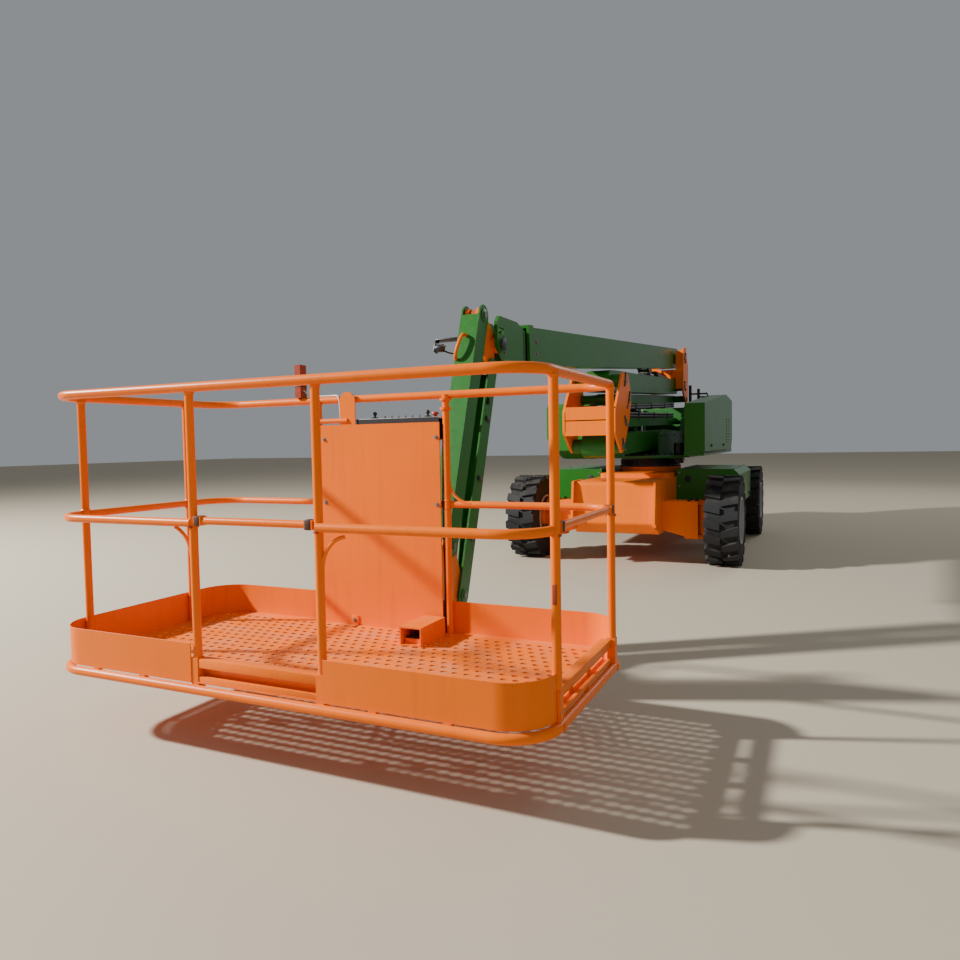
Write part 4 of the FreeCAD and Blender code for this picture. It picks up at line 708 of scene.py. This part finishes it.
def boom(s, y, h):
    """A place along the boom: s from its pivot, y from its plane, h above its axis."""
    return (BOOM_PIVOT[0] + s * math.cos(tilt) - h * math.sin(tilt), PLANE + y,
            BOOM_PIVOT[1] + s * math.sin(tilt) + h * math.cos(tilt))


up = (-math.sin(tilt), 0.0, math.cos(tilt))
spots = []
for side in (1, -1):
    for s in (5385, 5435):
        for h in (-45, 45):
            spots.append((boom(s, side * 100, h), (0, side, 0)))
for s in (5385, 5435):
    for y in (-40, 40):
        spots.append((boom(s, y, 130), up))
        spots.append((boom(s, y, -130), (-up[0], 0, -up[2])))
bolts("wear_pad_screws", spots, 19, 9, zinc, "boom")
bm = bmesh.new()
slab(bm, (-134, -101, -131), (-60, 101, 131), 30, boom)
for h in (-60, 0, 60):
    slab(bm, (-138, -70, h - 5), (-132, 70, h + 5), 2, boom)
put("boom_tail_cap", bm, moulding, "boom")
rust_red = finish("red_oxide", (0.30, 0.045, 0.014), under=(0.10, 0.05, 0.03), gloss=0.5, dust=0.2,
                  chips=0.2)
bm = bmesh.new()
spot = boom(5369, 100, 34)
bar_round(bm, (spot[0], 9, spot[2]), (spot[0], 12.6, spot[2]), 15, 14, sides=40, soft=0.8)
bar_round(bm, (spot[0], 12.4, spot[2]), (spot[0], 13.6, spot[2]), 9, 9, sides=40, soft=0.4)
put("boom_mark", bm, rust_red, "boom")
NOSE_X, NOSE_Z = 4330, 1779
bm = bmesh.new()
for side in (1, -1):
    y0, y1 = sorted((PLANE + side * 95, PLANE + side * 97.5))
    slab(bm, (4322, y0, 1856), (4360, y1, 1868), 1)
    slab(bm, (3960, y0, 1720), (3966, y1, 1900), 1)
    bar_round(bm, (NOSE_X, PLANE + side * 106, NOSE_Z), (NOSE_X, PLANE + side * 113, NOSE_Z), 41, 39,
              sides=40, soft=1.5)
put("nose_pin_caps", bm, black, "fly")
spots = [((NOSE_X + 60 * math.cos(a), PLANE + s * 95, NOSE_Z + 60 * math.sin(a)), (0, s, 0))
         for s in (1, -1) for a in (2.2, 3.1, 4.0)]
bolts("nose_screws", spots, 13, 7, zinc, "fly")

# Jib: two green channel arms side by side fore and aft, an orange forked head on the boom's nose and
# a thin cylinder across them. Hoses loop down behind the head; the front arm carries a bent orange
# lever and a black bracket that leads a cable round its edge.
wears(green, "jib_front_arm", "jib_rear_arm")
wears(orange, "jib_base", "platform_support")
wears(pin_metal, "jib_head_pins", "support_pins")
wears(chrome, "jib_cylinder_rod")
# Painted shade: this brown is the orange enamel darkened to the look it has in shade. It is used for the jib
# cylinder's barrel and the ribs of the jib head.
brown = finish("orange_darkened_by_painted_shade", (0.42, 0.070, 0.006), under=(0.16, 0.12, 0.09), gloss=0.36,
               dust=0.3)
wears(brown, "jib_cylinder_barrel")
FRONT, REAR = (4512.0, 1933.0), (4389.0, 1638.0)
ARM_LENGTH = 1378
lean = math.radians(-70.4)


def on_arm(origin):
    """Places on a jib arm: s down from its head pin, y from its plane, h towards the front."""
    def place(s, y, h):
        return (origin[0] + s * math.cos(lean) - h * math.sin(lean), PLANE + y,
                origin[1] + s * math.sin(lean) + h * math.cos(lean))
    return place


front, rear = on_arm(FRONT), on_arm(REAR)
for name, arm, body in (("jib_bosses_front", front, "front_arm"), ("jib_bosses_rear", rear, "rear_arm")):
    bm = bmesh.new()
    for s in (0, ARM_LENGTH):
        for side in (1, -1):
            bar_round(bm, arm(s, side * 60, 0), arm(s, side * 66, 0), 40, 38, sides=36, soft=1)
    put(name, bm, green, body)
# The ribs of the jib head take the orange darkened as painted shade.
bm = bmesh.new()
for y in (-24, 24):
    for v in bmesh.ops.create_cube(bm, size=1.0)["verts"]:
        t = 1.12 if v.co.x > 0 else 0.25
        w = 26 if v.co.z > 0 else -8
        v.co = at(NOSE_X + (FRONT[0] - NOSE_X) * t - w * 0.645, PLANE + y + math.copysign(5, v.co.y),
                  NOSE_Z + (FRONT[1] - NOSE_Z) * t + w * 0.763)
bar_round(bm, (4452, PLANE - 28, 1905), (4452, PLANE + 28, 1905), 20, 20, sides=28, soft=1.5)
put("jib_head_ribs", bm, brown, "jib_base")
for i, (y, sag) in enumerate(((-52, 0), (-30, 14), (30, 6), (52, 20))):
    hose("jib_hose_%d" % (i + 1), [
        (4290, PLANE + y * 0.7, 1842), (4335 - sag, PLANE + y * 0.8, 1858 + sag * 0.3),
        (4375 - sag, PLANE + y, 1800), (4352 - sag, PLANE + y, 1742), (4338 - sag, PLANE + y, 1700),
        (4352, PLANE + y * 0.8, 1655)], 10, hose_skin, "jib_base")
bm = bmesh.new()
for s in (330, 700, 1050):
    slab(bm, (s - 14, 60, -30), (s + 14, 68, 20), 2, rear)
slab(bm, (205, 60, 8), (245, 74, 30), 3, rear)
put("jib_fittings", bm, black, "rear_arm")
spots = [(rear(s, 68, -5), (0, 1, 0)) for s in (330, 700, 1050)]
bolts("jib_fitting_screws", spots, 13, 7, zinc, "rear_arm")
bm = bmesh.new()
slab(bm, (140, -228, -14), (150, -60, 26), 2, front)
slab(bm, (150, -232, -14), (222, -222, 26), 2, front)
bar_round(bm, front(196, -222, 6), front(196, -176, 6), 24, 24, sides=28, soft=2)
slab(bm, (132, -66, -30), (232, -60, 34), 2, front)
put("cable_bracket", bm, black, "front_arm")
run = [(158, -6, 60), (156, -8, 84), (172, -16, 98), (225, -30, 100), (280, -42, 94), (306, -48, 78),
       (304, -49, 58)]
hose("head_lever", [front(*p) for p in run], 10, orange, "front_arm")
run = [(200, -150, 30), (180, -200, 34), (172, -240, 8), (185, -214, -22), (215, -150, -34),
       (225, -90, -20), (220, -58, -4)]
hose("head_cable", [front(*p) for p in run], 5, hose_skin, "front_arm")

# Rotary actuator and yoke: a helical turning drive under the platform's floor, bolted between the
# jib's foot and the two uprights that carry the platform.
wears(black, "rotary_actuator")
wears(orange, "platform_yoke")
TURN_X = 5280
spots = [((TURN_X + x, PLANE + y, 620), (0, 0, 1)) for x, y in circle(8, 72, 20)]
bolts("actuator_bolts", spots, 13, 8, zinc, "support")
spots = [((5412, PLANE + y, z), (1, 0, 0)) for y in (-40, 40) for z in (450, 570)]
bolts("yoke_bolts", spots, 19, 9, zinc, "platform")

# Work platform: round steel tube bent into rails, with posts, bumper tube and feet welded on, all
# sprayed orange, as are the sliding entry bars, the back panel and the guard of the foot switch.
wears(orange, "platform_frame", "gate_bar_front", "gate_bar_side", "back_panel", "foot_switch",
      "platform_deck")
wears(moulding, "control_console")
lamp_red = finish("red_moulding", (0.34, 0.040, 0.008), under=(0.1, 0.03, 0.02), dust=0.25,
                  gloss=0.34, chips=0.3)
wears(lamp_red, "rail_box")
X0, X1, Y0, Y1 = 5483.0, 6463.0, -1148.0, 1002.0
MID_X, MID_Y = 5973, -73
FLOOR_Z = 300
BOARD_TOP = 451.5
BOARD_IN, BOARD_OUT = 9, 13

# Platform floor: one sheet of steel with rows of punched holes, folded up into the toe boards, and
# hollow thresholds welded in at the two entries. It stands for the plain floor of the CAD model.


def punched_floor_tree():
    """A rounded sheet with staggered rows of rounded holes, with real thickness."""
    tree = bpy.data.node_groups.new("punched_floor", "GeometryNodeTree")
    sockets(tree, "Geometry", "Base")
    sockets(tree, "Float", "Width", "Length", "Corner", "Thickness", "Hole Width", "Hole Length")
    sockets(tree, "Material", "Finish")
    sockets(tree, "Geometry", "Floor", way="OUTPUT")
    n, l = tree.nodes, tree.links
    gin, gout = n.new("NodeGroupInput"), n.new("NodeGroupOutput")

    def rounded(width, length, corner, count):
        frame_line = n.new("GeometryNodeCurvePrimitiveQuadrilateral")
        l.new(gin.outputs[width], frame_line.inputs["Width"])
        l.new(gin.outputs[length], frame_line.inputs["Height"])
        soft = n.new("GeometryNodeFilletCurve")
        soft.mode = "POLY"
        l.new(frame_line.outputs[0], soft.inputs["Curve"])
        soft.inputs["Count"].default_value = count
        if isinstance(corner, str):
            l.new(gin.outputs[corner], soft.inputs["Radius"])
        else:
            soft.inputs["Radius"].default_value = corner
        return soft.outputs[0]

    edge = rounded("Width", "Length", "Corner", 10)
    hole = rounded("Hole Width", "Hole Length", 0.0095, 3)
    spread = n.new("GeometryNodeInstanceOnPoints")
    l.new(gin.outputs["Base"], spread.inputs["Points"])
    l.new(hole, spread.inputs["Instance"])
    real = n.new("GeometryNodeRealizeInstances")
    l.new(spread.outputs[0], real.inputs[0])
    lines = n.new("GeometryNodeJoinGeometry")
    l.new(edge, lines.inputs["Geometry"])
    l.new(real.outputs[0], lines.inputs["Geometry"])
    sheet = n.new("GeometryNodeFillCurve")
    l.new(lines.outputs[0], sheet.inputs["Curve"])
    thick = n.new("GeometryNodeExtrudeMesh")
    thick.mode = "FACES"
    thick.inputs["Individual"].default_value = False
    l.new(sheet.outputs[0], thick.inputs["Mesh"])
    l.new(gin.outputs["Thickness"], thick.inputs["Offset Scale"])
    under = n.new("GeometryNodeFlipFaces")
    l.new(sheet.outputs[0], under.inputs["Mesh"])
    whole = n.new("GeometryNodeJoinGeometry")
    l.new(thick.outputs["Mesh"], whole.inputs["Geometry"])
    l.new(under.outputs[0], whole.inputs["Geometry"])
    sealed = n.new("GeometryNodeMergeByDistance")
    l.new(whole.outputs[0], sealed.inputs["Geometry"])
    return handed_over(tree, sealed.outputs[0], gin, gout)


trodden = finish("trodden_orange", (0.95, 0.190, 0.004), under=(0.20, 0.11, 0.07), fade=0.6, dust=0.30,
                 gloss=0.34, shine=0.25)
places = bpy.data.meshes.new("hole_places")
rows = []
for i in range(17):
    for j in range(41 - i % 2):
        rows.append(((i - 8) * 0.052, (j - (40 - i % 2) / 2) * 0.050, 0.0))
places.from_pydata(rows, [], [])
sheet_mesh = grown("platform_floor", places, punched_floor_tree(), {
    "Width": 1.0, "Length": 2.17, "Corner": 0.16, "Thickness": 0.006, "Hole Width": 0.021,
    "Hole Length": 0.030, "Finish": trodden})
sheet_mesh.transform(Matrix.Translation(at(MID_X, MID_Y, FLOOR_Z)))
punched = bmesh.new()
punched.from_mesh(sheet_mesh)
bpy.data.meshes.remove(sheet_mesh)
deck = put("platform_floor", punched, trodden, "platform")
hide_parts("platform_deck")


def corner_points(off):
    """The platform's four round corners in plan, 13 points each, off outside the rail's line."""
    hx, hy, r = 490 + off, 1075 + off, 150 + off
    ring = []
    for quarter, (way_x, way_y) in enumerate(((1, 1), (-1, 1), (-1, -1), (1, -1))):
        for k in range(13):
            a = math.radians(90 * quarter + 7.5 * k)
            ring.append((MID_X + way_x * (hx - r) + r * math.cos(a),
                         MID_Y + way_y * (hy - r) + r * math.sin(a)))
    return ring


def wall_run(bm, inner, outer, z0, z1):
    """A folded strip between two lines in plan, with a rounded upper lip."""
    rings = []
    for (xa, ya), (xb, yb) in zip(inner, outer):
        xm, ym = (xa + xb) / 2, (ya + yb) / 2
        rings.append([bm.verts.new(at(x, y, z)) for x, y, z in (
            (xa, ya, z0), (xb, yb, z0), (xb, yb, z1 - 1.4), (xm, ym, z1), (xa, ya, z1 - 1.4))])
    for a, b in zip(rings, rings[1:]):
        for k in range(5):
            bm.faces.new((a[k], a[(k + 1) % 5], b[(k + 1) % 5], b[k]))
    bm.faces.new(rings[0])
    bm.faces.new(rings[-1])


def board_end(place):
    """The two corners of a toe board's end, where place gives a point by its distance outwards."""
    return [(place(BOARD_IN), place(BOARD_OUT))]


corners = list(zip(corner_points(BOARD_IN), corner_points(BOARD_OUT)))
bm = bmesh.new()
for run in (
        board_end(lambda out: (X1 + out, 222.0)) + corners[:13] + board_end(lambda out: (6330.0, Y1 + out)),
        board_end(lambda out: (5616.0, Y1 + out)) + corners[13:] + board_end(lambda out: (X1 + out, -384.0))):
    wall_run(bm, [a for a, b in run], [b for a, b in run], FLOOR_Z, BOARD_TOP)
put("toe_boards", bm, orange, "platform")
bm = bmesh.new()
y0, y1 = -352, 190
slab(bm, (X1 - 34, y0, 358), (X1 + 8, y1, 392), 2.5)
slab(bm, (X1 - 26, y0, FLOOR_Z), (X1 - 22, y1, 359), 0.8)
slab(bm, (X1 - 6, y0, FLOOR_Z), (X1 + 8, y1, 326), 2)
x0, x1 = 5648, 6298
slab(bm, (x0, Y1 - 32, 358), (x1, Y1 + 10, 392), 2.5)
for z0, z1 in ((FLOOR_Z, 318), (351, 359)):
    slab(bm, (x0, Y1 - 24, z0), (x1, Y1 - 20, z1), 0.8)
for k in range(4):
    mid = x0 + (x1 - x0) * k / 3
    slab(bm, (max(x0, mid - 23), Y1 - 24, 317), (min(x1, mid + 23), Y1 - 20, 352), 0.8)
slab(bm, (x0, Y1 - 4, FLOOR_Z), (x1, Y1 + 10, 316), 2)
put("entry_thresholds", bm, orange, "platform")

# Fittings of the platform: welds round the posts, brown guides and red stops of the sliding bars,
# screws and feet of the back panel, the pedal's rubber, the grey lid, levers and stop button of the
# console, a cable down the post and a pale one to the small red lamp on the rail.
BAR_Z = 912
GUIDE = 18.5
bm = bmesh.new()
posts = [(x, Y0 + 10) for x in (5735, 6314)] + [(x, Y1 + 8) for x in (5632, 6314)]
posts += [(X1 - 10, y) for y in (-368, 206)] + [(X0 + 10, y) for y in (-500, 210)]
for x, y in posts:
    bar_round(bm, (x, y, 1380), (x, y, 1392), 16.4, 20.5, sides=24)
    bar_round(bm, (x, y, 1391.9), (x, y, 1394), 20.5, 18, sides=24)
for x, y in ((5735, Y0 + 10), (6314, Y0 + 10), (X0 + 10, -500), (X0 + 10, 210)):
    bar_round(bm, (x, y, 922), (x, y, 927), 20, 16.4, sides=24)
    bar_round(bm, (x, y, 881), (x, y, 886), 16.4, 20, sides=24)
put("rail_welds", bm, orange, "platform")
guide_brown = finish("brown_guide", (0.060, 0.022, 0.010), under=(0.12, 0.09, 0.07), gloss=0.44, dust=0.2)
bm = bmesh.new()
for y in (-349.6, 157.6):
    slab(bm, (X1 - 10 - GUIDE, y, BAR_Z - GUIDE), (X1 - 10 + GUIDE, y + 28, BAR_Z + GUIDE), 4)
put("front_bar_guides", bm, guide_brown, "gate_front")
bm = bmesh.new()
for x in (5650.4, 6265.6):
    slab(bm, (x, Y1 + 8 - GUIDE, BAR_Z - GUIDE), (x + 28, Y1 + 8 + GUIDE, BAR_Z + GUIDE), 4)
put("side_bar_guides", bm, guide_brown, "gate_side")
bm = bmesh.new()
slab(bm, (6329, Y1 + 2, 671), (6334, Y1 + 16, 735), 1.5)
for x, y in ((X1 - 10, -368), (X1 - 10, 206)):
    slab(bm, (x - 20, y - 9, 884), (x + 20, y + 9, 892), 1.5)
for x in (5632, 6314):
    slab(bm, (x - 9, Y1 - 12, 884), (x + 9, Y1 + 28, 892), 1.5)
put("bar_stops", bm, rust_red, "platform")
PANEL_X = 5509.0
spots = [((PANEL_X + 6, y, z), (1, 0, 0)) for y in (-456, 166) for z in (1214, 904)]
spots += [((PANEL_X + 12, -297, 330), (1, 0, 0)), ((PANEL_X + 12, 30, 330), (1, 0, 0))]
bolts("panel_screws", spots, 13, 6, zinc, "platform")
bm = bmesh.new()
for y in (-297, 30):
    slab(bm, (PANEL_X + 6, y - 20, 306), (PANEL_X + 12, y + 20, 352), 2)
    slab(bm, (PANEL_X + 6, y - 20, 306), (PANEL_X + 42, y + 20, 311), 2)
put("panel_feet", bm, orange, "platform")
bm = bmesh.new()
slab(bm, (PANEL_X + 90, 113, 333), (PANEL_X + 227, 190, 339), 3)
for k in range(6):
    slab(bm, (PANEL_X + 100 + 21 * k, 116, 338), (PANEL_X + 108 + 21 * k, 187, 342), 1)
put("pedal_rubber", bm, moulding, "platform")
bm = bmesh.new()
for y in (-190, 100):
    bar_round(bm, (PANEL_X - 46, y, 1306), (PANEL_X - 46, y, 1316), 24, 13, sides=24, soft=1)
    bar_round(bm, (PANEL_X - 46, y, 1315), (PANEL_X - 46, y, 1330), 5, 5, sides=14)
    bmesh.ops.create_uvsphere(bm, u_segments=20, v_segments=12, radius=0.010,
                              matrix=Matrix.Translation(at(PANEL_X - 46, y, 1333)))
for k in range(6):
    y = -140 + 38 * k
    bar_round(bm, (PANEL_X - 55, y, 1306), (PANEL_X - 55, y, 1312), 8, 8, sides=6)
    bar_round(bm, (PANEL_X - 55, y, 1311), (PANEL_X - 57, y, 1321), 3, 2.4, sides=12)
put("console_levers", bm, moulding, "platform")
console_grey = finish("grey_lid", (0.40, 0.40, 0.40), under=(0.08, 0.08, 0.08), dust=0.3, gloss=0.4,
                      chips=0.2)
bm = bmesh.new()
slab(bm, (PANEL_X - 84, -272, 1300), (PANEL_X - 1, 184, 1308), 2)
for y in (-268, 176):
    slab(bm, (PANEL_X - 82, y, 1200), (PANEL_X - 1, y + 4, 1301), 1)
put("console_lid", bm, console_grey, "platform")
bm = bmesh.new()
bar_round(bm, (PANEL_X - 25, 150, 1306), (PANEL_X - 25, 150, 1320), 9, 9, sides=24)
bar_round(bm, (PANEL_X - 25, 150, 1319), (PANEL_X - 25, 150, 1331), 19, 15, sides=28, soft=2)
put("stop_button", bm, lamp_red, "platform")
hose("post_cable", [(5488, 190, 1210), (5486, 188, 1100), (5504, 192, 960), (5502, 190, 760),
                    (5490, 189, 600), (5503, 192, 430), (5500, 190, 312)], 4.0, hose_skin, "platform")
ivory = finish("ivory_sheath", (0.62, 0.60, 0.55), under=(0.4, 0.38, 0.34), dust=0.4, gloss=0.42,
               chips=0.0, edge=0.001)
hose("lamp_cable", [(5483, -595, 1462), (5483, -578, 1450), (5483, -560, 1429.5), (5483, -500, 1429.3),
                    (5484, -420, 1429.3), (5497, -380, 1429), (5505, -366, 1405), (5505, -362, 1330),
                    (5503, -362, 1285)], 4.0, ivory, "platform")
bm = bmesh.new()
slab(bm, (5459.5, -630, 1480), (5512.5, -592, 1484), 1)
slab(bm, (5466, -634, 1440), (5506, -628, 1470), 2)
put("lamp_seal", bm, moulding, "platform")
